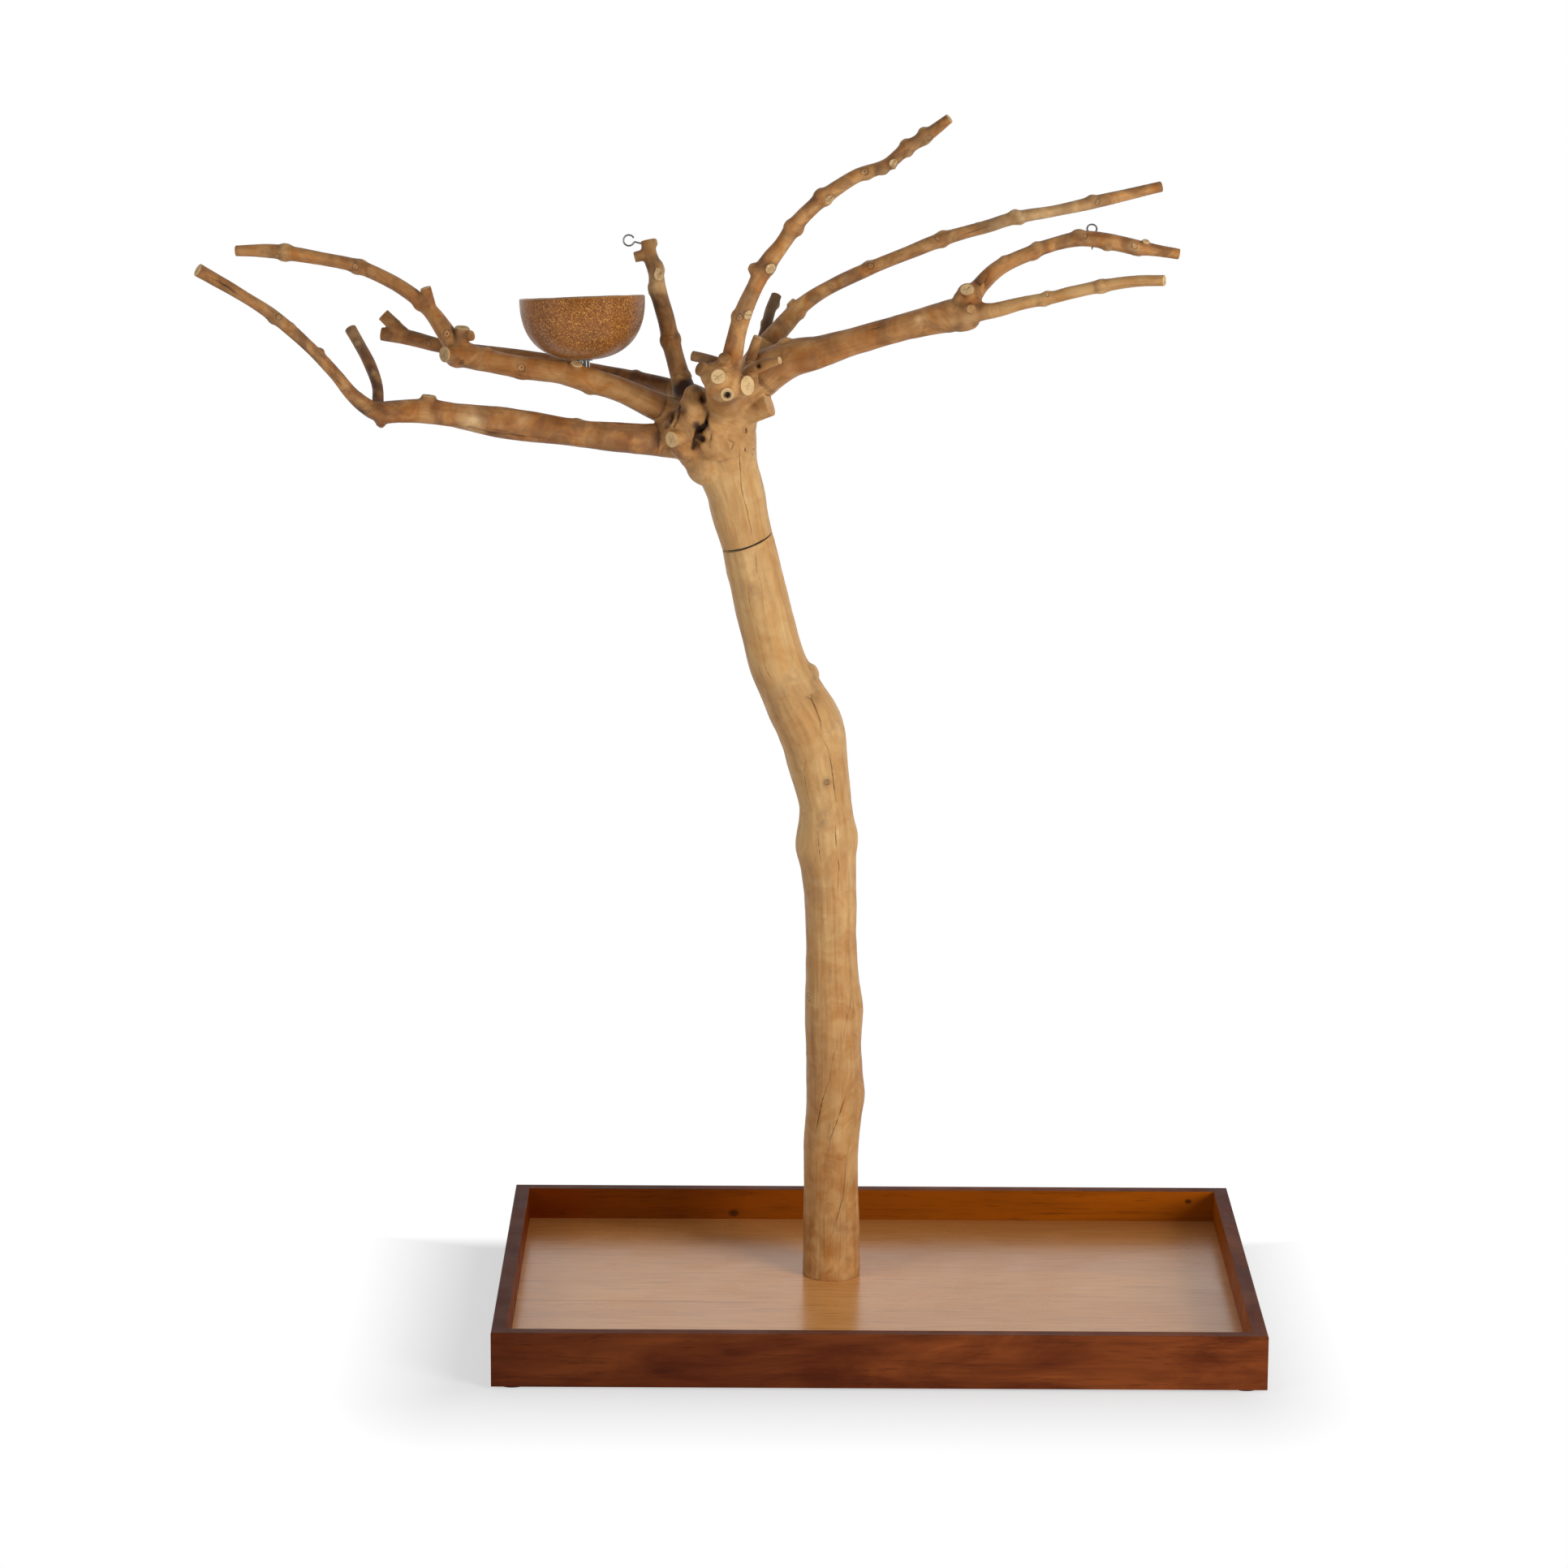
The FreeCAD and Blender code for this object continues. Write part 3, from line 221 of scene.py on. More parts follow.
# Where a side shoot once grew: run along the course, angle from the front, width, how far it stands
# out, and whether it was sawn off flat.
NUBS = {
    "limb_hook": [
        (151, -90, 15, 1.6, False), (171, 90, 16, 2.0, False), (163, 20, 10, 1.0, True),
        (97, -90, 12, 1.8, False), (97, 90, 12, 1.6, False), (57, 60, 11, 1.4, False),
        (188, -90, 11, 8.0, True), (198, 90, 12, 3.5, False),
    ],
    "limb_tall": [
        (81, -90, 10, 1.8, False), (88, 32, 8, 0.8, True), (130, -90, 13, 5.0, False),
        (141, 29, 9, 0.9, True), (138, 90, 12, 1.2, False), (185, -90, 12, 1.8, False),
        (186, 90, 12, 2.4, False), (227, -90, 13, 2.4, False), (234, 32, 7, 0.8, True),
        (228, 61, 12, 1.4, False), (306, 11, 7, 0.8, True), (303, 57, 6, 2.2, False),
        (293, 57, 12, 1.0, False), (325, -90, 12, 2.4, False), (323, 60, 10, 2.0, False),
        (346, -90, 11, 3.0, False), (343, 78, 10, 1.0, False), (277, 100, 12, 0.9, False),
        (60, 170, 10, 1.4, False), (205, 165, 9, 1.6, True),
    ],
    "limb_right_outer": [
        (115, -90, 9, 2.4, True), (113, 60, 12, 1.4, False), (201, -80, 11, 1.0, False),
        (283, -90, 11, 1.6, False), (281, 90, 10, 1.2, False), (361, -60, 12, 1.6, False),
        (365, 90, 10, 1.6, False), (444, -60, 11, 1.2, False), (160, 170, 9, 1.6, True),
        (322, -170, 10, 1.4, False),
    ],
    "limb_right_main": [
        (105, -90, 14, 3.0, False), (286, 90, 24, 2.4, False), (180, 160, 12, 1.6, True),
    ],
    "arm_right_upper": [
        (60, -58, 10, 1.0, False), (94, -60, 11, 1.2, False), (89, 90, 12, 1.5, False),
        (136, -63, 14, 1.3, False), (165, 65, 11, 1.6, False), (202, -59, 7, 2.4, True),
        (195, 90, 13, 1.0, False), (120, 170, 10, 1.4, True),
    ],
    "arm_right_lower": [
        (86, -76, 9, 1.3, False), (81, 67, 10, 1.0, False), (141, 72, 12, 1.0, False),
        (141, -90, 12, 0.8, False),
    ],
    "twig_upper_left": [
        (219, 90, 13, 1.8, False), (219, -90, 12, 1.4, False), (141, 90, 12, 1.2, False),
        (143, -80, 11, 1.4, False), (68, -90, 11, 1.6, False), (180, 170, 8, 1.6, True),
    ],
    "arm_lower_left": [(147, -74, 10, 1.2, False), (129, 44, 8, 0.8, False), (90, 150, 9, 1.4, True)],
    "limb_lower_left": [
        (303, 90, 14, 3.2, True), (350, -90, 8, 3.4, False), (149, 90, 12, 1.0, False),
        (220, 165, 13, 2.0, True),
    ],
    "twig_lower_left": [(89, -2, 8, 0.9, False), (48, 6, 7, 0.9, False)],
    "limb_back_left": [(362, 90, 9, 3.0, False), (200, -60, 9, 0.8, False), (110, 80, 10, 1.2, False)],
    "limb_bowl": [
        (245, 80, 10, 1.8, False), (156, 66, 11, 2.2, True), (137, -90, 12, 1.6, False),
        (208, -90, 14, 0.9, False),
    ],
    "twig_rear": [(80, -60, 8, 1.4, False), (105, 80, 9, 1.6, False)],
    "lower_trunk": [(631, 84, 19, 4.0, False), (470, 150, 20, 2.4, True), (250, -130, 16, 2.0, True)],
}

# Small eyes where a bud healed over: run, angle and width.
EYES = {
    "limb_tall": [(83, -13, 8), (277, -14, 9), (349, 20, 6)],
    "limb_right_outer": [(201, -22, 8), (276, -24, 6), (447, -1, 7), (245, 43, 3)],
    "twig_upper_left": [(224, -31, 6), (143, 1, 8), (26, 8, 9), (120, -9, 3)],
    "arm_lower_left": [(145, 29, 7)],
    "limb_bowl": [(207, 9, 9), (267, -26, 8)],
    "arm_right_upper": [(191, -13, 7), (141, -25, 6)],
    "arm_right_lower": [(88, -40, 5)],
    "limb_back_left": [(330, 0, 6)],
    "stub_split": [(14, 0, 6)],
    "limb_hook": [(97, 10, 6)],
    "lower_trunk": [(528, 12, 6), (300, -60, 9), (690, -140, 14)],
    "crown_hub": [(87, -29, 8), (92, 60, 7)],
}

# Drying cracks: points as run along the piece and angle from the front, width and depth.
CRACKS = {
    "crown_hub": [
        ([(106, 32), (92, 27), (78, 25), (56, 15), (40, 18), (25, 19), (0, 16)], 0.42, 1.2),
        ([(90, 150), (60, 158), (30, 150), (4, 156)], 0.5, 1.4),
    ],
    "lower_trunk": [
        ([(784, 16), (763, 7), (749, 10), (716, -1)], 0.35, 0.8),
        ([(760, -15), (731, -25), (702, -20), (660, -24), (640, -20)], 0.3, 0.6),
        ([(619, 24), (613, 31), (605, 29), (589, 25), (577, 17)], 0.6, 1.8),
        ([(617, 37), (613, 31)], 0.6, 1.6),
        ([(577, 17), (560, 26), (535, 26), (506, 25), (472, 18), (439, 22), (405, 18)], 0.4, 1.1),
        ([(577, -26), (554, -20), (542, -30), (513, -36), (488, -27)], 0.3, 0.6),
        ([(488, -22), (456, -16), (440, -12)], 0.28, 0.5),
        ([(339, 45), (298, 41), (272, 24), (252, 15)], 0.32, 0.8),
        ([(256, 8), (239, -3), (217, -10), (192, -26), (157, -39)], 0.45, 1.3),
        ([(199, 24), (177, 11), (155, -4), (123, -15)], 0.34, 0.8),
        ([(156, 40), (123, 33), (87, 23), (60, 7), (42, -4)], 0.36, 0.9),
        ([(400, -20), (360, -24), (330, -21)], 0.28, 0.5),
        ([(720, 120), (660, 128), (590, 118), (540, 126), (470, 120)], 0.45, 1.2),
        ([(420, 190), (350, 182), (300, 188), (210, 176), (140, 184)], 0.5, 1.4),
        ([(640, -110), (560, -118), (480, -106), (400, -112)], 0.4, 1.0),
        ([(300, -150), (220, -142), (120, -148), (40, -140)], 0.4, 1.0),
    ],
    "limb_lower_left": [
        ([(262, -36), (240, -41), (222, -36), (206, -38), (188, -36), (172, -39)], 1.1, 1.4),
        ([(245, -22), (228, -26), (212, -24)], 0.5, 0.8),
    ],
    "arm_lower_left": [
        ([(228, 2), (214, 10), (202, 8), (192, -6), (183, -20)], 1.1, 1.0),
        ([(160, -80), (147, -62), (132, -50), (110, -52), (88, -40)], 0.6, 0.8),
        ([(72, -26), (60, -20), (46, -8)], 0.45, 0.7),
    ],
    "limb_bowl": [([(228, -30), (206, -38), (189, -46)], 0.4, 0.6)],
    "limb_right_outer": [
        ([(330, -10), (312, 6), (296, 2)], 0.4, 0.6), ([(262, 10), (240, 18), (215, 12)], 0.35, 0.5),
    ],
    "limb_right_main": [([(216, -44), (203, -36), (188, -40)], 0.7, 0.7)],
    "arm_right_upper": [
        ([(40, -20), (30, 4), (18, 14)], 1.0, 1.2), ([(34, 30), (26, 16), (20, 34)], 0.8, 1.2),
    ],
    "twig_upper_left": [([(108, -38), (98, -34)], 0.6, 0.7)],
    "limb_back_left": [
        ([(120, 10), (150, 22), (190, 12), (230, 20)], 0.5, 0.8),
        ([(80, -30), (110, -24), (140, -32)], 0.5, 0.8),
    ],
}

# Folds where the limbs meet on the hub, with painted shade along them: points measured from the crown's foot,
# width, depth and how dark the painted shade is.
# A depth below nothing is a ridge.
SHADED_FOLDS = {
    "crown_hub": [
        ([(-46, -47, 117), (-49, -50, 108), (-51.5, -47.5, 100)], 2.6, 6.0, 1.2),
        ([(-44, -43, 152), (-42, -47, 142), (-39, -45, 131), (-40, -44, 123), (-46, -47, 117)], 1.6, 3.4, 1.2),
        ([(-38, -44, 128), (-32, -46, 116), (-31, -48, 104), (-33, -47, 94)], 3.0, -1.6, 0.0),
        ([(-40, -42, 126), (-35, -45, 114), (-36, -48, 101)], 0.8, 1.4, 0.9),
        ([(-70, -24, 145), (-72, -38, 136), (-75, -43, 127), (-80, -44, 119)], 2.0, 2.6, 0.9),
        ([(-66, -40, 140), (-68, -46, 128), (-72, -47, 121)], 1.2, 1.6, 0.7),
        ([(-86, -30, 90), (-80, -40, 99), (-70, -44, 92), (-58, -40, 87)], 1.6, 1.0, 0.35),
        ([(-18, -42, 108), (-12, -40, 104), (-14, -41, 98)], 0.6, 0.5, 0.6),
        ([(0, -31, 117), (0.5, -31, 113)], 0.6, 0.9, 1.0),
        ([(-1, -32, 98), (-0.5, -32, 95)], 0.6, 0.9, 1.0),
        ([(-36, -36, 88), (-28, -38, 84), (-20, -38, 86)], 1.2, 0.6, 0.35),
        ([(-8, -38, 126), (-16, -40, 120), (-22, -42, 112)], 2.2, -1.0, 0.0),
    ],
}

# Broad swellings and hollows of the surface: run, angle, width and height.
SWELLS = {
    "lower_trunk": [
        (285, 90, 34, 2.2), (240, 82, 26, -1.4), (191, 92, 30, 2.6), (463, 90, 26, 3.0),
        (455, -78, 28, 2.8), (590, 70, 44, 2.0), (120, 85, 40, -1.2), (380, -85, 60, -1.5),
        (610, -20, 40, 1.6), (330, -60, 50, -1.2), (150, -60, 50, 1.2),
    ],
    "limb_lower_left": [(236, -90, 60, 2.4), (205, -80, 50, 1.6)],
}

# Stains: run, angle, width, and how dark, grey and pale.
STAINS = {
    "lower_trunk": [
        (620, -19, 24, 0.0, 0.9, 0.0), (582, 52, 17, 0.0, 1.0, 0.0), (528, 12, 9, 0.3, 0.8, 0.0),
        (488, 0, 22, 0.0, 0.9, 0.0), (470, 14, 20, 0.0, 0.0, 0.5), (452, 47, 16, 0.0, 0.9, 0.0),
        (742, -16, 22, 0.0, 0.8, 0.0), (770, 0, 26, 0.0, 0.0, 0.5), (627, 60, 20, 0.0, 0.6, 0.0),
        (640, 20, 20, 0.0, 0.7, 0.2), (640, -60, 26, 0.0, 0.7, 0.0), (613, 40, 16, 0.35, 0.0, 0.0),
        (420, -50, 40, 0.0, 0.6, 0.0), (220, 60, 18, 0.0, 0.5, 0.0), (60, 20, 26, 0.0, 0.6, 0.0),
        (40, 70, 30, 0.15, 0.5, 0.0),
    ],
    "limb_lower_left": [
        (259, -15, 22, 0.0, 0.5, 0.9), (209, 43, 14, 0.0, 0.0, 0.6), (74, -4, 26, 0.1, 0.8, 0.0),
        (236, -40, 18, 0.5, 0.2, 0.0),
    ],
    "arm_lower_left": [
        (206, 4, 24, 0.35, 0.0, 0.0), (21, -67, 12, 1.1, 0.0, 0.0), (150, -60, 18, 0.4, 0.0, 0.0),
    ],
    "limb_hook": [
        (155, -10, 20, 0.0, 0.0, 0.8), (175, -40, 14, 0.5, 0.0, 0.0), (120, 0, 30, 0.25, 0.0, 0.0),
    ],
    "limb_right_main": [
        (244, -24, 8, 0.0, 0.0, 0.7), (290, 10, 24, 0.0, 0.0, 0.5), (205, -50, 30, 0.3, 0.0, 0.0),
    ],
    "arm_right_upper": [(26, 8, 22, 0.7, 0.0, 0.0), (191, -13, 10, 0.0, 0.0, 0.6)],
    "limb_right_outer": [
        (330, 0, 30, 0.3, 0.0, 0.0), (60, -20, 60, 0.5, 0.0, 0.0), (165, -30, 50, 0.0, 0.5, 0.0),
        (375, 0, 110, 0.0, 0.0, 0.6),
    ],
    "twig_knuckle": [(18, 0, 40, 0.0, 1.0, 0.2)],
    "twig_rear": [(100, 0, 30, 0.0, 1.0, 0.3)],
    "twig_lower_left": [(105, 0, 34, 0.0, 1.0, 0.2)],
    "limb_tall": [
        (330, -20, 60, 0.15, 0.6, 0.0), (385, -20, 80, 0.2, 0.4, 0.0), (83, -13, 14, 0.0, 0.7, 0.0),
    ],
    "stub_split": [(26, 0, 8, 0.0, 0.0, 0.8)],
    # On the short stub, the dark stain on its right side is painted shade.
    "stub_short": [(20, 60, 24, 0.5, 0.0, 0.0)],
}

# Pits and hollows with painted shade: the spot from the crown's foot, width, depth and how dark the painted
# shade is.
# Where the depth is nothing there is no pit, only painted shade.
SHADED_HOLLOWS = {
    "crown_hub": [
        ((-66, 2, 151), 19, 0.0, 1.0), ((-58, 4, 154), 17, 0.0, 1.1), ((-43, -37, 147), 9, 0.0, 0.9),
        ((-43.7, -47, 108.5), 6.0, 2.5, 1.0), ((-50, -22, 155), 14, 0.0, 1.0),
        ((-33, -44, 134), 12, 0.0, 0.3), ((-50, -46, 123), 9, 0.0, 0.8),
        ((-41, -46, 120), 10, 0.0, 0.5), ((-64, -40, 138), 12, 0.0, 0.6),
        ((-75, -34, 128), 11, 0.0, 0.5), ((10, -24, 140), 12, 0.0, 0.25),
    ],
    "front_knuckle": [
        ((-18, -117, 163), 6.4, 0.0, 1.2), ((-21, -112, 198), 15, 0.0, 0.4),
        ((-45, -100, 186), 15, 0.0, 0.35),
    ],
    "limb_right_main": [((219, -91, 247), 2.6, 2.5, 1.2), ((220, -90, 241), 2.2, 2.0, 1.2)],
    "stub_split": [((11, -62, 183), 5.5, 2.0, 1.2)],
}


def srgb(red, green, blue):
    """A colour as the eye names it, in the linear values that a shader takes."""
    channels = []
    for value in (red, green, blue):
        value = value / 255
        channels.append(value / 12.92 if value <= 0.04045 else ((value + 0.055) / 1.055) ** 2.4)
    return (*channels, 1.0)


def colour(name, description, red, green, blue):
    return FloatVectorProperty(
        name=name, description=description, subtype="COLOR", size=4, min=0, max=1,
        default=srgb(red, green, blue),
    )


# ---- Settings --------------------------------------------------------------------------

class WoodSettings(bpy.types.PropertyGroup):
    voxel: FloatProperty(
        name="Wood mesh size", description="Size of the faces that the limbs are built from",
        default=1.5 * MM, min=0.8 * MM, max=5 * MM, unit="LENGTH",
    )
    trunk_voxel: FloatProperty(
        name="Trunk mesh size", description="Size of the faces that the trunk and hub are built from",
        default=1.8 * MM, min=0.8 * MM, max=5 * MM, unit="LENGTH",
    )
    blend: FloatProperty(
        name="Fork blend", description="How far the grain of one limb runs into the next at a fork",
        default=3.5 * MM, min=0.5 * MM, max=20 * MM, unit="LENGTH",
    )
    unevenness: FloatProperty(
        name="Unevenness", description="Depth of the broad hollows and swellings in the wood",
        default=0.7 * MM, min=0, max=3 * MM, unit="LENGTH",
    )
    tan: colour("Tan", "Debarked trunk wood", 199, 162, 110)
    brown: colour("Brown", "Debarked limb wood", 171, 124, 75)
    weathered: colour("Weathered", "Dark purple-brown wood of the rear limbs", 92, 62, 42)
    sawn: colour("Sawn ends", "Cream end grain", 220, 188, 138)


class TraySettings(bpy.types.PropertyGroup):
    outside: colour("Rail outside", "Dark reddish stain", 84, 36, 17)
    mottle: colour("Rail mottle", "Orange-brown where the stain is thin", 142, 74, 34)
    inside: colour("Rail inside", "Amber stain", 152, 76, 8)
    floor: colour("Floor", "Varnished tan board", 226, 159, 90)


class BowlSettings(bpy.types.PropertyGroup):
    shell: colour("Shell", "Polished shell between its flecks", 110, 58, 16)
    fleck: colour("Flecks", "Golden flecks of the shell", 208, 148, 68)
    radius: FloatProperty(
        name="Radius", description="Outside radius at the rim", default=62 * MM, unit="LENGTH"
    )
    height: FloatProperty(name="Height", description="Foot to rim", default=63 * MM, unit="LENGTH")
    wall: FloatProperty(name="Wall", description="Thickness of the shell", default=3 * MM, unit="LENGTH")
    fullness: FloatProperty(
        name="Fullness", description="How square the cup's outline is; 2 is an ellipse", default=2.45
    )


class StageSettings(bpy.types.PropertyGroup):
    lens: FloatProperty(name="Lens", description="Focal length in millimetres", default=121.13)
    key_power: FloatProperty(
        name="Key power", description="Power of the low lamp on the right", default=166.0, unit="POWER"
    )
    fill_power: FloatProperty(
        name="Fill power", description="Power of the lamp on the left", default=44.0, unit="POWER"
    )
    sky: FloatProperty(name="Sky", description="Strength of the light from all round", default=0.26)


# ---- Courses ----------------------------------------------------------------------------

FAIRING_STEPS = 6


def unit(vector):
    return vector / np.linalg.norm(vector)


class Course:
    """A smooth run of round sections through a limb's stations."""

    def __init__(self, rows, origin):
        stations = [np.array(row[:3], float) * MM + np.array(origin) for row in rows]
        widths = [row[3] * MM / 2 for row in rows]
        centres = []
        radii = []
        last = len(rows) - 1
        for index in range(last):
            start, end = stations[index], stations[index + 1]
            span = np.linalg.norm(end - start)
            leaving = unit(end - stations[max(index - 1, 0)]) * span
            arriving = unit(stations[min(index + 2, last)] - start) * span
            for step in range(FAIRING_STEPS):
                t = step / FAIRING_STEPS
                rise = t * t * (3 - 2 * t)
                point = start * (1 - rise) + end * rise
                point = point + leaving * (t * (1 - t) ** 2) - arriving * (t * t * (1 - t))
                centres.append(point)
                radii.append(widths[index] * (1 - t) + widths[index + 1] * t)
        centres.append(stations[last])
        radii.append(widths[last])
        self.centres = np.array(centres)
        self.radii = np.array(radii)
        steps = np.linalg.norm(np.diff(self.centres, axis=0), axis=1)
        self.run = np.concatenate([[0], np.cumsum(steps)])
        self.chord = unit(self.centres[-1] - self.centres[0])

    def run_at(self, station):
        """The run along the course at a station, which may lie between two."""
        return float(np.interp(station * FAIRING_STEPS, np.arange(len(self.run)), self.run))

    def at(self, run):
        """The centre, the radius and the grain's direction at a run, on past either end."""
        run = np.clip(run, -20 * MM, self.run[-1] + 20 * MM)
        inside = float(np.clip(run, 0, self.run[-1]))
        index = min(int(np.searchsorted(self.run, inside, side="right")) - 1, len(self.run) - 2)
        grain = unit(self.centres[index + 1] - self.centres[index])
        share = (inside - self.run[index]) / (self.run[index + 1] - self.run[index])
        centre = self.centres[index] * (1 - share) + self.centres[index + 1] * share
        radius = self.radii[index] * (1 - share) + self.radii[index + 1] * share
        return centre + grain * (run - inside), radius, grain

    def place(self, run, degrees):
        """The point on the surface at a run and an angle, turned right from the front."""
        centre, radius, grain = self.at(run)
        front = unit(np.array((0, -1, 0)) - grain * grain[1] * -1)
        side = np.cross(grain, front)
        angle = math.radians(degrees)
        return centre + radius * (front * math.cos(angle) + side * math.sin(angle))

    def nearest(self, points):
        """For each point: distance above the surface, the centre, the run and the radius beside it."""
        starts = self.centres[:-1]
        spans = np.diff(self.centres, axis=0)
        lengths = (spans**2).sum(1)
        above = np.full(len(points), np.inf)
        centre = np.zeros((len(points), 3))
        run = np.zeros(len(points))
        for index in range(len(spans)):
            t = np.clip((points - starts[index]) @ spans[index] / lengths[index], 0, 1)
            foot = starts[index] + t[:, None] * spans[index]
            radius = self.radii[index] * (1 - t) + self.radii[index + 1] * t
            gap = np.linalg.norm(points - foot, axis=1) - radius
            closer = gap < above
            above[closer] = gap[closer]
            centre[closer] = foot[closer]
            run[closer] = self.run[index] + t[closer] * math.sqrt(lengths[index])
        return above, centre, run


def leaning(left, back):
    """The direction of an upright that leans left and back by so many degrees."""
    return Vector((-math.tan(math.radians(left)), math.tan(math.radians(back)), 1)).normalized()


def joint_axis():
    return leaning(JOINT_LEANS_LEFT, -JOINT_LEANS_FORWARD)


def crown_foot():
    return JOINT_FACE + joint_axis() * JOINT_WASHER_THICKNESS


def all_courses():
    found = {"lower_trunk": Course(TRUNK, TRUNK_FOOT), "crown_hub": Course(NECK, crown_foot())}
    for name, limb in LIMBS.items():
        found[name] = Course(limb[0], crown_foot())
    return found


COURSES = all_courses()
WARMTH = {"lower_trunk": 0.10, "crown_hub": 0.08}
WARMTH.update({name: limb[3] for name, limb in LIMBS.items()})
DARKNESS = {"lower_trunk": 0.0, "crown_hub": 0.0}
DARKNESS.update({name: limb[4] for name, limb in LIMBS.items()})


# ---- Mesh work ----------------------------------------------------------------------------

PLUG_LENGTH = 5 * MM
PLUG_INSET = 0.4 * MM
SAW_OVERRUN = 5 * MM
RING_SIDES = 24
CUT_RIM = 0.4 * MM
CUT_RIM_WIDTH = 0.5 * MM
CUT_MARGIN = 6 * MM
BORE_RADIUS = 2.4 * MM
BORE_DEPTH = 4 * MM
FINE_REACH = 3.0 * MM
FINE_REACH_ON_HUB = 3.6 * MM
CROWDING = 7 * MM
CROWDED_REACH = 8 * MM


def tube(centres, radii):
    """Vertices and faces of a closed round tube through the sections given."""
    vertices = []
    faces = []
    side = None
    count = len(centres)
    for index in range(count):
        before = centres[max(index - 1, 0)]
        grain = unit(centres[min(index + 1, count - 1)] - before)
        if side is None:
            side = np.cross(grain, (0, 1, 0)) if abs(grain[1]) < 0.8 else np.cross(grain, (1, 0, 0))
        side = unit(side - grain * side.dot(grain))
        other = np.cross(grain, side)
        for step in range(RING_SIDES):
            angle = 2 * math.pi * step / RING_SIDES
            spoke = side * math.cos(angle) + other * math.sin(angle)
            vertices.append(centres[index] + radii[index] * spoke)
    for index in range(count - 1):
        low, high = index * RING_SIDES, (index + 1) * RING_SIDES
        for step in range(RING_SIDES):
            after = (step + 1) % RING_SIDES
            faces.append((low + step, low + after, high + after, high + step))
    faces.append(tuple(range(RING_SIDES))[::-1])
    faces.append(tuple(range((count - 1) * RING_SIDES, count * RING_SIDES)))
    return vertices, faces


def length_of(course, start, end, plug_start=False, plug_end=False):
    """A tube along part of a course. A plugged end dips inside the neighbouring wood."""
    runs = [start] + [run for run in course.run if start + MM < run < end - MM] + [end]
    insets = [0.0] * len(runs)
    if plug_start:
        runs.insert(0, start - PLUG_LENGTH)
        insets.insert(0, PLUG_INSET)
    if plug_end:
        runs.append(end + PLUG_LENGTH)
        insets.append(PLUG_INSET)
    sections = [course.at(run) for run in runs]
    centres = [section[0] for section in sections]
    radii = [section[1] - inset for section, inset in zip(sections, insets)]
    return tube(centres, radii)


def ball(centre, diameter):
    bm = bmesh.new()
    bmesh.ops.create_icosphere(bm, subdivisions=3, radius=diameter / 2, matrix=Matrix.Translation(centre))
    bm.verts.ensure_lookup_table()
    shape = [v.co.copy() for v in bm.verts], [[v.index for v in f.verts] for f in bm.faces]
    bm.free()
    return shape


def joined(shapes):
    vertices = []
    faces = []
    for part_vertices, part_faces in shapes:
        offset = len(vertices)
        vertices.extend(tuple(v) for v in part_vertices)
        faces.extend([tuple(i + offset for i in face) for face in part_faces])
    return vertices, faces


def new_object(name, vertices, faces):
    mesh = bpy.data.meshes.new(name)
    mesh.from_pydata([tuple(v) for v in vertices], [], faces)
    mesh.update()
    piece = bpy.data.objects.new(name, mesh)
    bpy.context.scene.collection.objects.link(piece)
    return piece


def settle_modifiers(piece):
    """Turns a piece's modifiers into its own mesh."""
    graph = bpy.context.evaluated_depsgraph_get()
    mesh = bpy.data.meshes.new_from_object(piece.evaluated_get(graph))
    piece.modifiers.clear()
    old = piece.data
    piece.data = mesh
    bpy.data.meshes.remove(old)
    mesh.name = piece.name


def fuse(piece, voxel):
    """Makes one closed skin of overlapping shapes."""
    remesh = piece.modifiers.new("One skin", "REMESH")
    remesh.mode = "VOXEL"
    remesh.voxel_size = voxel
    settle_modifiers(piece)


def read_points(mesh):
    flat = np.empty(len(mesh.vertices) * 3)
    mesh.vertices.foreach_get("co", flat)
    return flat.reshape(-1, 3)


def write_points(mesh, points):
    mesh.vertices.foreach_set("co", points.ravel())
    mesh.update()


def read_normals(mesh):
    flat = np.empty(len(mesh.vertices) * 3)
    mesh.vertices.foreach_get("normal", flat)
    return flat.reshape(-1, 3)


def read_edges(mesh):
    flat = np.empty(len(mesh.edges) * 2, np.int64)
    mesh.edges.foreach_get("vertices", flat)
    return flat.reshape(-1, 2)


def neighbour_mean(points, edges, count):
    """The mean of each vertex's neighbours."""
    total = np.zeros_like(points)
    for axis in range(3):
        total[:, axis] = np.bincount(edges[:, 0], points[edges[:, 1], axis], count)
        total[:, axis] += np.bincount(edges[:, 1], points[edges[:, 0], axis], count)
    valence = np.bincount(edges.ravel(), minlength=count)
    return total / np.maximum(valence, 1)[:, None]


def relax(mesh, rounds, weight=None, keep_size=False):
    """Evens out a skin. With keep_size, each round is followed by one that swells it back."""
    points = read_points(mesh)
    edges = read_edges(mesh)
    share = np.ones(len(points)) if weight is None else weight
    pulls = (0.5, -0.52) if keep_size else (0.5,)
    for _ in range(rounds):
        for pull in pulls:
            step = neighbour_mean(points, edges, len(points)) - points
            points = points + step * (pull * share)[:, None]
    write_points(mesh, points)


def soft_noise(points, size, seed):
    """Smooth noise from -1 to 1 whose hills are about one size across."""
    cell = points / size
    base = np.floor(cell).astype(np.int64)
    part = cell - base
    part = part * part * (3 - 2 * part)
    total = np.zeros(len(points))
    for corner in itertools.product((0, 1), repeat=3):
        key = (base + corner) @ np.array((73856093, 19349663, 83492791)) + seed * 2654435761
        key = (key ^ (key >> 13)) * 1274126177 & 0xFFFFFFFF
        key = (key ^ (key >> 16)) * 668265263 & 0xFFFFFFFF
        value = ((key >> 9) & 0xFFFF) / 32767.5 - 1
        weight = np.prod(np.where(np.array(corner) == 1, part, 1 - part), axis=1)
        total += weight * value
    return total


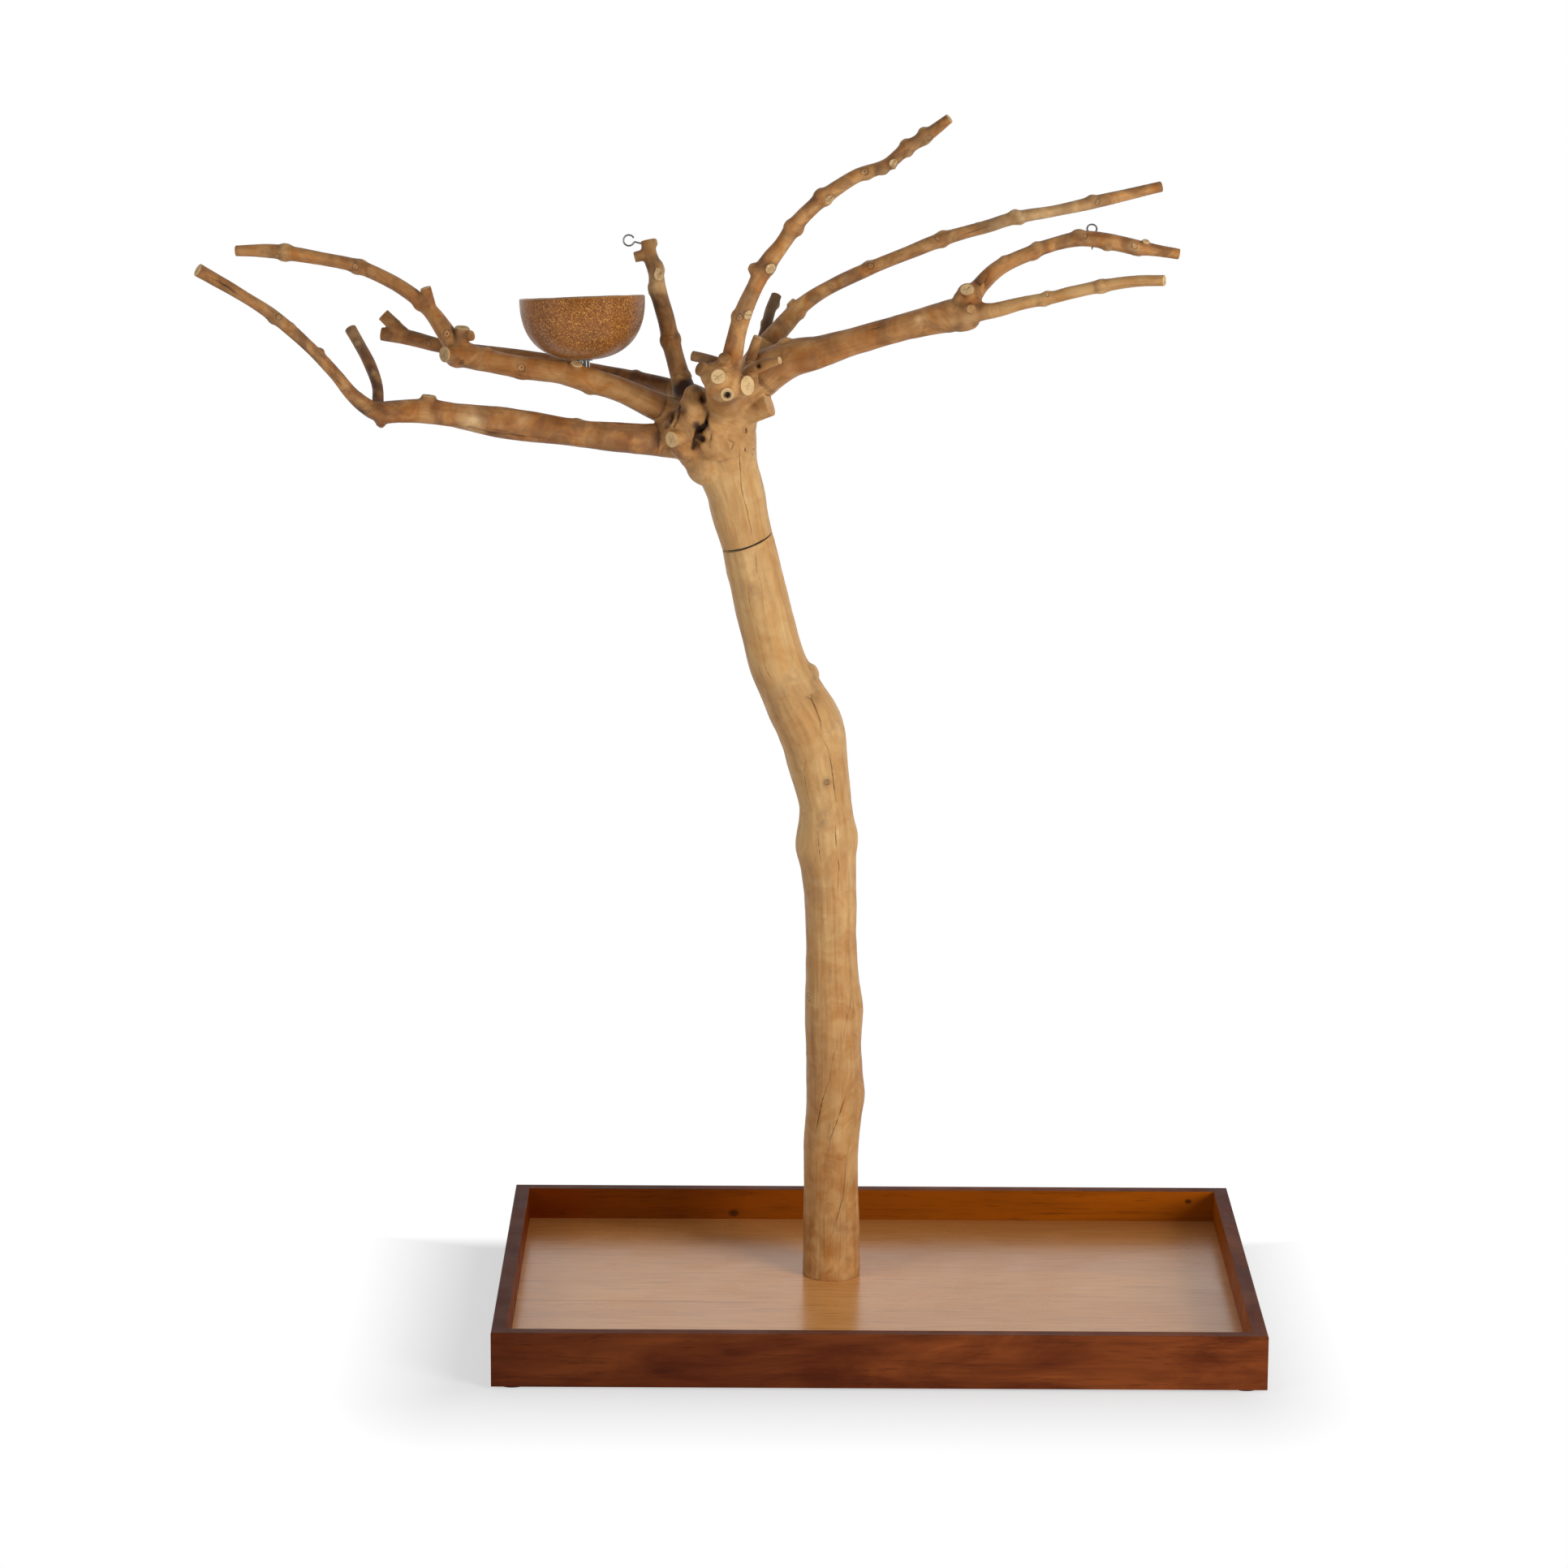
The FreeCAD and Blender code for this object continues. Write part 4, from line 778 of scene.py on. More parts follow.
def far_from_line(points, line):
    """Each point's distance to a line of points."""
    best = np.full(len(points), np.inf)
    for start, end in zip(line[:-1], line[1:]):
        span = end - start
        t = np.clip((points - start) @ span / span.dot(span), 0, 1)
        best = np.minimum(best, np.linalg.norm(points - start - t[:, None] * span, axis=1))
    return best


def saw(bm, centre, normal, reach, kind):
    """Cuts wood off square, closes it, eases the rim, and notes each point's place on the cut."""
    layer = bm.verts.layers.float_vector.get("cut") or bm.verts.layers.float_vector.new("cut")
    plane = centre - normal * CUT_RIM
    faces = [f for f in bm.faces if (f.calc_center_median() - plane).length < reach + CUT_MARGIN]
    geometry = set(faces)
    for face in faces:
        geometry.update(face.edges)
        geometry.update(face.verts)
    bmesh.ops.bisect_plane(bm, geom=list(geometry), dist=1e-7, plane_co=plane, plane_no=normal)
    beyond = []
    for vertex in bm.verts:
        offset = vertex.co - plane
        depth = offset.dot(normal)
        if depth > 1e-6 and (offset - normal * depth).length < reach:
            beyond.append(vertex)
    bmesh.ops.delete(bm, geom=beyond, context="VERTS")
    rim = [edge for edge in bm.edges if edge.is_boundary]
    made = bmesh.ops.holes_fill(bm, edges=rim, sides=0)["faces"]
    if not made:
        return
    slot = 0 if kind == "grown" else 1
    for face in made:
        face.material_index = slot
        face.smooth = False
    ring = bmesh.ops.inset_region(bm, faces=made, thickness=CUT_RIM_WIDTH, depth=CUT_RIM)["faces"]
    for face in made:
        for edge in face.edges:
            edge.smooth = False
    for face in ring:
        face.material_index = slot
    for face in (*made, *ring):
        for vertex in face.verts:
            vertex[layer] = vertex.co - centre
    if kind == "bored":
        corners = [vertex.co for face in made for vertex in face.verts]
        radius = sum((corner - centre).length for corner in corners) / len(corners)
        flat = bmesh.ops.inset_region(bm, faces=made, thickness=radius - BORE_RADIUS, depth=0)["faces"]
        wall = bmesh.ops.inset_region(bm, faces=made, thickness=0.3 * MM, depth=-BORE_DEPTH)["faces"]
        for face in (*flat, *wall, *made):
            face.material_index = slot
            face.smooth = False
            for vertex in face.verts:
                vertex[layer] = vertex.co - centre


def refine(bm, lines, reach):
    """Splits the faces beside each crack, eye and fold so that it can be cut sharply."""
    for closeness in (1.0, 0.55):
        points = np.array([v.co for v in bm.verts])
        near = np.zeros(len(points), bool)
        for line in lines:
            line = np.array(line)
            low, high = line.min(0) - reach, line.max(0) + reach
            inside = np.nonzero(np.all((points > low) & (points < high), axis=1))[0]
            near[inside] |= far_from_line(points[inside], line) < reach * closeness
        bm.verts.index_update()
        edges = [e for e in bm.edges if near[e.verts[0].index] and near[e.verts[1].index]]
        bmesh.ops.subdivide_edges(bm, edges=edges, cuts=1, use_grid_fill=True)


def fine_lines(name):
    """The lines beside which a piece of wood needs small faces."""
    course = COURSES[name]
    origin = np.array(crown_foot())
    lines = []
    for path, _, _ in CRACKS.get(name, []):
        lines.append([course.place(run * MM, turn) for run, turn in path])
    for path, *_ in SHADED_FOLDS.get(name, []):
        lines.append([origin + np.array(place) * MM for place in path])
    for run, degrees, width in EYES.get(name, []):
        ends = (run - width / 4, run + width / 4)
        lines.append([course.place(end * MM, degrees) for end in ends])
    for place, _, depth, _ in SHADED_HOLLOWS.get(name, []):
        if depth > 0:
            spot = origin + np.array(place) * MM
            lines.append([spot - 0.5 * MM, spot + 0.5 * MM])
    return lines


# ---- Wood -----------------------------------------------------------------------------------

SQUEEZE = 0.06
THROUGH = np.array((1, 0.35, 1))
GRAIN_SHIFT = 0.013
GRAIN_ROUNDS = 24
DEEP_FOLD = 5


def families(name):
    """The courses whose wood shows in a piece: its own, its branches' and the one that it grows from."""
    if name == "lower_trunk":
        return [name]
    if name == "crown_hub":
        return [name] + [limb for limb in LIMBS if LIMBS[limb][2] == name]
    found = [name, LIMBS[name][2]]
    found += [limb for limb in LIMBS if LIMBS[limb][2] == name]
    if LIMBS[name][2] == "crown_hub":
        found += [limb for limb in LIMBS if LIMBS[limb][2] == "crown_hub" and limb != name]
    return found


def bell(away, width, power=2):
    """One at the middle, falling smoothly towards nothing past the width."""
    return np.exp(-((away / width) ** power))


def far_from_spot(points, course, run, degrees):
    """Each point's distance to a place on a course's surface."""
    return np.linalg.norm(points - course.place(run * MM, degrees), axis=1)


def carve_and_mark(piece, name):
    """Swells, hollows and cracks the wood, paints shade into its folds, hollows and forks, and writes what its
    material reads.
    """
    mesh = piece.data
    points = read_points(mesh)
    normals = read_normals(mesh)
    names = families(name)
    above = []
    places = []
    runs = []
    for other in names:
        course = COURSES[other]
        gap, centre, run = course.nearest(points)
        above.append(gap)
        runs.append(run)
        key = sum(ord(letter) for letter in other)
        shift = np.array((key % 7, key % 5, key % 11)) * GRAIN_SHIFT
        places.append(points - centre + course.chord * (run * SQUEEZE)[:, None] + shift)
    above = np.array(above)
    closest = above.min(0)
    own_run = runs[0]
    settings = bpy.context.scene.stand_wood
    share = np.exp(-(above - closest) / settings.blend)
    share /= share.sum(0)
    grain = np.einsum("ip,ipk->pk", share, np.array(places))
    edges = read_edges(mesh)
    for _ in range(GRAIN_ROUNDS):
        grain = grain * 0.4 + neighbour_mean(grain, edges, len(points)) * 0.6
    warmth = share.T @ np.array([WARMTH[other] for other in names])
    darkness = share.T @ np.array([DARKNESS[other] for other in names])
    # Where two limbs share the surface at a fork; the wood is painted darker there as shade.
    fork = 1 - (share.max(0) - 0.5).clip(0, 0.5) * 2
    # Towards its foot the trunk is painted warmer and darker: partly painted shade where the lamps' light
    # falls off, partly the wood's own colour.
    if name == "lower_trunk":
        warmth = warmth + 0.45 * np.clip(1 - own_run / 0.5, 0, 1)
        darkness = darkness + 0.06 * np.clip(1 - own_run / 0.4, 0, 1)
    if name == "crown_hub":
        warmth = WARMTH[name] + 0.4 * (warmth - WARMTH[name])
        darkness = 0.5 * darkness

    lift = settings.unevenness * (soft_noise(points, 38 * MM, 3) + 0.5 * soft_noise(points, 17 * MM, 5))
    lift += 0.08 * MM * soft_noise(grain, 2.6 * MM, 7) + 0.08 * MM * soft_noise(points, 5 * MM, 9)
    course = COURSES[name]
    lift *= np.clip(np.interp(own_run, course.run, course.radii) / (12 * MM), 0.5, 1.3)
    dark = np.zeros(len(points))
    pale = np.zeros(len(points))
    grey = np.zeros(len(points))
    origin = np.array(crown_foot())
    patchy = 1 + 0.5 * soft_noise(points, 7 * MM, 31) + 0.3 * soft_noise(points, 3 * MM, 33)
    for run, degrees, width, height in SWELLS.get(name, []):
        lift += height * MM * bell(far_from_spot(points, course, run, degrees), 0.6 * width * MM)
    for run, degrees, width, height, sawn in NUBS.get(name, []):
        centre = course.at(run * MM)[0]
        spot = course.place(run * MM, degrees)
        spot = spot + unit(spot - centre) * height * MM
        away = np.linalg.norm(points - spot, axis=1) / (width * MM)
        collar = bell(away - 0.62, 0.16)
        lift += 0.25 * MM * collar * patchy
        dark += (0.28 if sawn else 0.22) * collar * patchy
        pale += 0.4 * bell(away, 0.45) * np.clip(patchy, 0, 1.4)
    for run, degrees, width in EYES.get(name, []):
        away = far_from_spot(points, course, run, degrees)
        away = away * (1 + 0.25 * soft_noise(points, 3 * MM, 35)) / (width * MM / 2)
        inside = bell(away, 1.1, 4)
        rings = np.cos(away * 7.5)
        lift += 0.35 * MM * inside * rings
        dark += inside * np.clip(rings, 0, 1) * 0.75
        pale += 0.5 * inside * np.clip(-rings, 0, 1)
    for run, degrees, width, shade, smoke, light in STAINS.get(name, []):
        away = far_from_spot(points, course, run, degrees)
        spread = bell(away, 0.55 * width * MM) * np.clip(patchy, 0, 1.6)
        dark += shade * spread
        grey += smoke * spread
        pale += light * spread
    wander = 0.35 * MM * soft_noise(points, 8 * MM, 21) + 0.22 * MM * soft_noise(points, 2.4 * MM, 23)
    for path, width, depth in CRACKS.get(name, []):
        line = [course.place(run * MM, degrees) for run, degrees in path]
        away = far_from_line(points + wander[:, None], line)
        ends = np.minimum(
            np.linalg.norm(points - line[0], axis=1), np.linalg.norm(points - line[-1], axis=1)
        )
        broken = np.clip(0.8 + 0.6 * soft_noise(points, 12 * MM, 25), 0.3, 1.2)
        taper = np.clip(ends / (14 * MM), 0.35, 1) * broken
        groove = bell(away, width * MM)
        lift -= depth * taper * MM * groove
        dark += 0.85 * taper * groove
    # Folds are cut into the hub and painted with shade along their creases.
    for path, width, depth, shade in SHADED_FOLDS.get(name, []):
        line = [origin + np.array(place) * MM for place in path]
        flat_points = (points + 1.5 * wander[:, None]) * THROUGH
        away = far_from_line(flat_points, [place * THROUGH for place in line])
        fold = bell(away, width * MM)
        if depth > DEEP_FOLD:
            fold *= np.clip(np.linalg.norm(points - line[-1], axis=1) / (7 * MM), 0.25, 1)
        lift -= depth * MM * fold
        dark += shade * bell(away, 1.15 * width * MM) * np.clip(patchy, 0.5, 1.3)
    # Painted shade in the hollows and crevices, cut in as a pit only where a depth is given.
    for place, width, depth, shade in SHADED_HOLLOWS.get(name, []):
        away = np.linalg.norm((points - origin - np.array(place) * MM) * THROUGH, axis=1)
        pit = bell(away, 0.5 * width * MM, 4)
        lift -= depth * MM * pit
        dark += shade * pit * np.clip(patchy, 0.6, 1.2)
    if name in LIMBS:
        seam = bell(own_run - course.run_at(LIMBS[name][1]), 0.5 * MM)
        dark += 0.4 * seam * (above[0] <= closest + 1e-6)
    # Painted shade where the limbs meet at a fork.
    dark += 0.35 * fork * np.clip(0.5 + soft_noise(points, 9 * MM, 13), 0, 1)
    points = points + normals * lift[:, None]
    write_points(mesh, points)
    write_attribute(mesh, "grain", grain)
    # The tone holds warmth, darkness and where the forks get painted shade; the next attribute's first channel
    # holds dark stains, cracks and eyes together with painted shade.
    write_attribute(mesh, "tone", np.stack([warmth, darkness, fork], 1))
    write_attribute(mesh, "marks_and_shade", np.stack([dark, grey, pale], 1).clip(0, 1.2))


def write_attribute(mesh, name, values):
    attribute = mesh.attributes.new(name, "FLOAT_VECTOR", "POINT")
    attribute.data.foreach_set("vector", values.astype(np.float32).ravel())


def nub(course, run, degrees, width, height, sawn):
    """A short stub that stands out of a limb, with its saw cut where it has one."""
    centre, radius, _ = course.at(run * MM)
    outward = unit(course.place(run * MM, degrees) - centre)
    top = radius + height * MM
    half = width * MM / 2
    if sawn:
        levels = [(0.2 * radius, 1.2), (radius, 1.1), (top, 0.98), (top + SAW_OVERRUN, 0.9)]
    else:
        shoulder = radius + 0.45 * height * MM
        levels = [(0.2 * radius, 1.3), (radius - 0.4 * half, 1.15), (shoulder, 0.85), (top, 0.45)]
    shape = tube([centre + outward * level for level, _ in levels], [half * share for _, share in levels])
    cut = (Vector(centre + outward * top), Vector(outward), half * 1.15 + 0.6 * MM, "sawn")
    return shape, [cut] if sawn else []


def wood_shapes(name):
    """The tubes and balls that a piece of wood is fused from, and its saw cuts."""
    origin = crown_foot()
    shapes = []
    cuts = []
    course = COURSES[name]
    end = course.run[-1]
    if name == "lower_trunk":
        shapes.append(length_of(course, -SAW_OVERRUN, end + 16 * MM))
        cuts.append((TRUNK_FOOT, Vector((0, 0, -1)), 40 * MM, "sawn"))
        cuts.append((JOINT_FACE, joint_axis(), 45 * MM, "sawn"))
    elif name == "crown_hub":
        shapes.append(length_of(course, -16 * MM, end))
        cuts.append((origin, -joint_axis(), 45 * MM, "sawn"))
    else:
        sawn = LIMBS[name][5]
        start = course.run_at(LIMBS[name][1])
        shapes.append(length_of(course, start, end + (SAW_OVERRUN if sawn else 0), plug_start=True))
        if sawn:
            centre, radius, grain = course.at(end)
            cuts.append((Vector(centre), Vector(grain), radius * 1.3 + MM, "sawn"))
    for limb, (_, butt, parent, *_) in LIMBS.items():
        if parent == name:
            root = COURSES[limb]
            shapes.append(length_of(root, 0, root.run_at(butt), plug_end=True))
    for x, y, z, diameter in SWELLINGS.get(name, []):
        shapes.append(ball(origin + Vector((x, y, z)) * MM, diameter * MM))
    for place in NUBS.get(name, []):
        shape, nub_cuts = nub(course, *place)
        shapes.append(shape)
        cuts.extend(nub_cuts)
    for foot, tip, diameter, kind in CUT_SHOOTS.get(name, []):
        foot = origin + Vector(foot) * MM
        tip = origin + Vector(tip) * MM
        along = (tip - foot).normalized()
        ends = [np.array(foot), np.array(tip + along * SAW_OVERRUN)]
        shapes.append(tube(ends, [diameter * MM / 2] * 2))
        cuts.append((tip, along, diameter * MM * 0.62 + MM, kind))
    return joined(shapes), cuts


def build_wood(name, materials, body):
    """One piece of the tree, in place of its CAD node."""
    settings = bpy.context.scene.stand_wood
    broad = name in ("lower_trunk", "crown_hub")
    (vertices, faces), cuts = wood_shapes(name)
    piece = new_object("wood_" + name, vertices, faces)
    fuse(piece, settings.trunk_voxel if broad else settings.voxel)
    mesh = piece.data
    for material in materials:
        mesh.materials.append(material)
    relax(mesh, 5 if broad else 8, keep_size=True)
    if name != "lower_trunk":
        points = read_points(mesh)
        gaps = [COURSES[other].nearest(points)[0] for other in families(name)]
        gaps = np.sort(np.array(gaps), axis=0)
        crowded = bell(gaps[1] - gaps[0], CROWDING) * (np.abs(gaps[0]) < CROWDED_REACH)
        origin = np.array(crown_foot())
        for foot, tip, diameter, _ in CUT_SHOOTS.get(name, []):
            away = far_from_line(points, [origin + np.array(foot) * MM, origin + np.array(tip) * MM])
            crowded = crowded * np.clip((away / (diameter * MM / 2) - 1.05) / 0.5, 0.05, 1)
        for run, degrees, width, _, _ in NUBS.get(name, []):
            away = far_from_spot(points, COURSES[name], run, degrees)
            crowded = crowded * np.clip((away / (width * MM / 2) - 1.05) / 0.5, 0.1, 1)
        relax(mesh, 14 if broad else 10, weight=crowded)
    bm = bmesh.new()
    bm.from_mesh(mesh)
    for centre, normal, reach, kind in cuts:
        saw(bm, Vector(centre), Vector(normal), reach, kind)
    refine(bm, fine_lines(name), FINE_REACH_ON_HUB if name == "crown_hub" else FINE_REACH)
    for face in bm.faces:
        if face.material_index == 0:
            face.smooth = True
    bm.to_mesh(mesh)
    bm.free()
    carve_and_mark(piece, name)
    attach(piece, body)
    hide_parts(name)
    return piece


# ---- Shader work ------------------------------------------------------------------------------

def feed(tree, socket, value):
    """Links a socket to a value that comes from another, and sets it to any other value."""
    if isinstance(value, bpy.types.NodeSocket):
        tree.links.new(value, socket)
    else:
        socket.default_value = value


def put(tree, kind, inputs=None, **settings):
    """Adds a node, sets it up and feeds its inputs."""
    node = tree.nodes.new(kind)
    for key, value in settings.items():
        setattr(node, key, value)
    for key, value in (inputs or {}).items():
        feed(tree, node.inputs[key], value)
    return node


def maths(tree, operation, *values, clamp=False):
    inputs = dict(enumerate(values))
    return put(tree, "ShaderNodeMath", inputs, operation=operation, use_clamp=clamp).outputs[0]


def times(tree, first, second):
    return maths(tree, "MULTIPLY", first, second)


def vectors(tree, operation, *values):
    """A vector sum's outputs: Vector, or Value for a length or a dot product."""
    return put(tree, "ShaderNodeVectorMath", dict(enumerate(values)), operation=operation).outputs


def stretched(tree, vector, factors):
    return vectors(tree, "MULTIPLY", vector, factors)["Vector"]


def span(tree, value, low, high, to_low=0.0, to_high=1.0):
    """Stretches a value from one range to another, held at the ends."""
    node = put(
        tree, "ShaderNodeMapRange",
        {"Value": value, "From Min": low, "From Max": high, "To Min": to_low, "To Max": to_high},
    )
    return node.outputs["Result"]


def mixed(tree, amount, first, second, blend="MIX"):
    colours = {0: amount, 6: first, 7: second}
    return put(tree, "ShaderNodeMix", colours, data_type="RGBA", blend_type=blend).outputs[2]


def laid(tree, base, mask, strength, tint):
    """Lays a colour over the base where a mask shows it."""
    return mixed(tree, maths(tree, "MULTIPLY", mask, strength, clamp=True), base, tint)


def filtered(tree, base, amount, tint):
    """Darkens the base by an amount, as through a coloured glass."""
    return mixed(tree, amount, base, mixed(tree, 1.0, base, tint, "MULTIPLY"))


def blended(tree, amount, first, second):
    """A shader between two others."""
    return put(tree, "ShaderNodeMixShader", {0: amount, 1: first, 2: second}).outputs[0]


def noise(tree, vector, scale, detail=4.0, roughness=0.55, distortion=0.0):
    node = put(
        tree, "ShaderNodeTexNoise",
        {"Vector": vector, "Scale": scale, "Detail": detail, "Roughness": roughness,
         "Distortion": distortion},
    )
    return node.outputs["Fac"]


def attribute(tree, name):
    return put(tree, "ShaderNodeAttribute", attribute_name=name).outputs["Vector"]


def parts_of(tree, vector):
    return put(tree, "ShaderNodeSeparateXYZ", {0: vector}).outputs[:3]


def object_place(tree):
    return put(tree, "ShaderNodeTexCoord").outputs["Object"]


def bump(tree, shader, height, strength, distance):
    node = put(tree, "ShaderNodeBump", {"Height": height, "Strength": strength, "Distance": distance})
    feed(tree, shader.inputs["Normal"], node.outputs["Normal"])


def new_group(name, inputs, outputs):
    """A shader group with its own sockets. Each input is (name, kind, default)."""
    group = bpy.data.node_groups.new(name, "ShaderNodeTree")
    for label, kind, default in inputs:
        socket = group.interface.new_socket(label, in_out="INPUT", socket_type="NodeSocket" + kind)
        if default is not None:
            socket.default_value = default
    for label in outputs:
        group.interface.new_socket(label, in_out="OUTPUT", socket_type="NodeSocketFloat")
    given = group.nodes.new("NodeGroupInput").outputs
    return group, given, group.nodes.new("NodeGroupOutput").inputs


def long_grain_group():
    """Streaks, dark veins, pores and broad clouds of wood whose grain runs along the squeezed axis."""
    group, given, result = new_group(
        "Long grain",
        [("Place", "Vector", None), ("Fineness", "Float", 300.0), ("Cloud Place", "Vector", None),
         ("Cloud Fineness", "Float", 14.0)],
        ["Streaks", "Veins", "Pores", "Clouds", "Height"],
    )
    place, fineness = given["Place"], given["Fineness"]
    cloud_place, cloud_fineness = given["Cloud Place"], given["Cloud Fineness"]
    streaks = noise(group, place, fineness, 4.0, 0.58, 0.4)
    broad = noise(group, place, times(group, fineness, 0.42), 4.0, 0.6, 0.3)
    veins = span(group, maths(group, "ABSOLUTE", maths(group, "SUBTRACT", broad, 0.47)), 0.022, 0.002)
    breaks = noise(group, cloud_place, times(group, cloud_fineness, 3.0))
    veins = times(group, veins, span(group, breaks, 0.46, 0.62))
    pores = span(group, noise(group, place, times(group, fineness, 3.0), 2.0, 0.5), 0.36, 0.26)
    clouds = noise(group, cloud_place, cloud_fineness, 3.0, 0.5, 0.6)
    height = maths(group, "SUBTRACT", times(group, streaks, 0.7), times(group, pores, 0.5))
    height = maths(group, "SUBTRACT", height, times(group, veins, 0.5))
    feed(group, result["Streaks"], span(group, streaks, 0.28, 0.72))
    feed(group, result["Veins"], veins)
    feed(group, result["Pores"], pores)
    feed(group, result["Clouds"], span(group, clouds, 0.3, 0.7))
    feed(group, result["Height"], height)
    return group


def handling_group():
    """Uneven shine from handling and cleaning, as a roughness."""
    group, given, result = new_group(
        "Handling",
        [("Place", "Vector", None), ("Fineness", "Float", 30.0), ("Least", "Float", 0.4),
         ("Most", "Float", 0.6)],
        ["Roughness"],
    )
    patches = noise(group, given["Place"], given["Fineness"], 5.0, 0.6)
    feed(group, result["Roughness"], span(group, patches, 0.3, 0.7, given["Least"], given["Most"]))
    return group


def use(tree, group, inputs):
    """Places a group in a material with its own values."""
    return put(tree, "ShaderNodeGroup", inputs, node_tree=group).outputs


def new_material(name):
    material = bpy.data.materials.new(name)
    material.use_nodes = True
    tree = material.node_tree
    shader = next(n for n in tree.nodes if n.type == "BSDF_PRINCIPLED")
    return material, tree, shader


# Knots on the inside of the back rail: across, up and size, in millimetres.
RAIL_KNOTS = ((-147.5, 31.5, 5.2), (339, 47, 3.4))
RAIL_KNOTS_BACK = 0.24
FLOOR_SEAM_BACK = -0.053


class Finishes:
    """Every material of the stand, made once."""

    def __init__(self, scene):
        wood, tray, bowl = scene.stand_wood, scene.stand_tray, scene.stand_bowl
        self.long_grain = long_grain_group()
        self.handling = handling_group()
        self.debarked = self.make_debarked(wood)
        self.sawn = self.make_sawn(wood)
        self.rail = self.make_rail(tray)
        self.floor = self.make_floor(tray)
        self.softwood = self.make_softwood()
        self.shell = self.make_shell(bowl)
        self.nickel = self.make_metal("bright_nickel", (186, 184, 182), 0.08, 0.2)
        self.zinc = self.make_metal("zinc_plate", (158, 160, 165), 0.30, 0.46)
        # The joint washer's steel is painted dark as the shade in the gap between trunk and crown.
        self.steel = self.make_metal("steel_painted_as_gap_shade", (92, 86, 80), 0.42, 0.56)
        self.brass = self.make_metal("turned_brass", (196, 160, 92), 0.24, 0.38)
        self.rubber = self.make_rubber()

    def figure(self, tree, place, fineness, cloud_place, cloud_fineness):
        """The long grain's outputs, with a material's own values."""
        return use(tree, self.long_grain, {
            "Place": place, "Fineness": fineness,
            "Cloud Place": cloud_place, "Cloud Fineness": cloud_fineness,
        })

    def surface(self, tree, shader, base, fineness, least, most, specular=0.5):
        """Gives a shader its colour and the uneven shine of handling."""
        feed(tree, shader.inputs["Base Color"], base)
        shine = {"Place": object_place(tree), "Fineness": fineness, "Least": least, "Most": most}
        feed(tree, shader.inputs["Roughness"], use(tree, self.handling, shine)["Roughness"])
        shader.inputs["Specular IOR Level"].default_value = specular

    def make_debarked(self, wood):
        material, tree, shader = new_material("debarked_wood")
        grain = attribute(tree, "grain")
        warmth, darkness, fork = parts_of(tree, attribute(tree, "tone"))
        dark, grey, pale = parts_of(tree, attribute(tree, "marks_and_shade"))
        where = object_place(tree)
        figure = self.figure(tree, grain, 240.0, where, 15.0)
        streaks = figure["Streaks"]
        drift = times(tree, maths(tree, "SUBTRACT", figure["Clouds"], 0.5), 0.6)
        base = mixed(tree, maths(tree, "ADD", warmth, drift, clamp=True), wood.tan, wood.brown)
        golden = mixed(tree, 1.0, base, srgb(255, 214, 150), "OVERLAY")
        base = laid(tree, base, span(tree, streaks, 0.45, 1.0), 0.16, golden)
        base = filtered(tree, base, span(tree, streaks, 0.5, 0.0, 0.0, 0.36), srgb(202, 174, 138))
        broad = span(tree, noise(tree, grain, 90.0, 3.0, 0.5, 0.5), 0.36, 0.64)
        base = filtered(tree, base, times(tree, broad, 0.42), srgb(218, 192, 160))
        patches = span(tree, noise(tree, where, 42.0, 3.0, 0.55, 1.2), 0.38, 0.66)
        patches = times(tree, patches, span(tree, warmth, 0.0, 0.6, 0.35, 1.0))
        base = filtered(tree, base, patches, srgb(228, 200, 164))
        blotch = span(tree, noise(tree, where, 24.0, 3.0, 0.58, 1.6), 0.44, 0.62)
        uneven = times(tree, maths(tree, "SUBTRACT", blotch, 0.4), 0.55)
        uneven = times(tree, uneven, span(tree, darkness, 0.0, 0.15))
        base = mixed(tree, maths(tree, "ADD", darkness, uneven, clamp=True), base, wood.weathered)
        veins = times(tree, figure["Veins"], span(tree, warmth, 0.1, 0.7, 0.14, 0.42))
        base = mixed(tree, veins, base, srgb(104, 68, 40))
        base = laid(tree, base, figure["Pores"], 0.08, srgb(112, 78, 50))
        smudge = span(tree, noise(tree, where, 95.0, 4.0, 0.6), 0.4, 0.62)
        smoke = maths(tree, "MULTIPLY", grey, smudge, clamp=True)
        base = laid(tree, base, smoke, 0.55, srgb(132, 104, 80))
        chalk = maths(tree, "MULTIPLY", pale, span(tree, smudge, 0.0, 1.0, 1.0, 0.5), clamp=True)
        base = laid(tree, base, chalk, 0.7, srgb(218, 184, 134))
        # Painted shade where the limbs meet at a fork.
        base = filtered(tree, base, times(tree, fork, 0.2), srgb(176, 140, 102))
        # Dark stains, cracks and eyes, together with the painted shade of folds, hollows and forks.
        base = laid(tree, base, dark, 0.9, srgb(56, 34, 20))
        self.surface(tree, shader, base, 60.0, 0.42, 0.6, specular=0.3)
        bump(tree, shader, figure["Height"], 0.1, 0.0004)
        return material

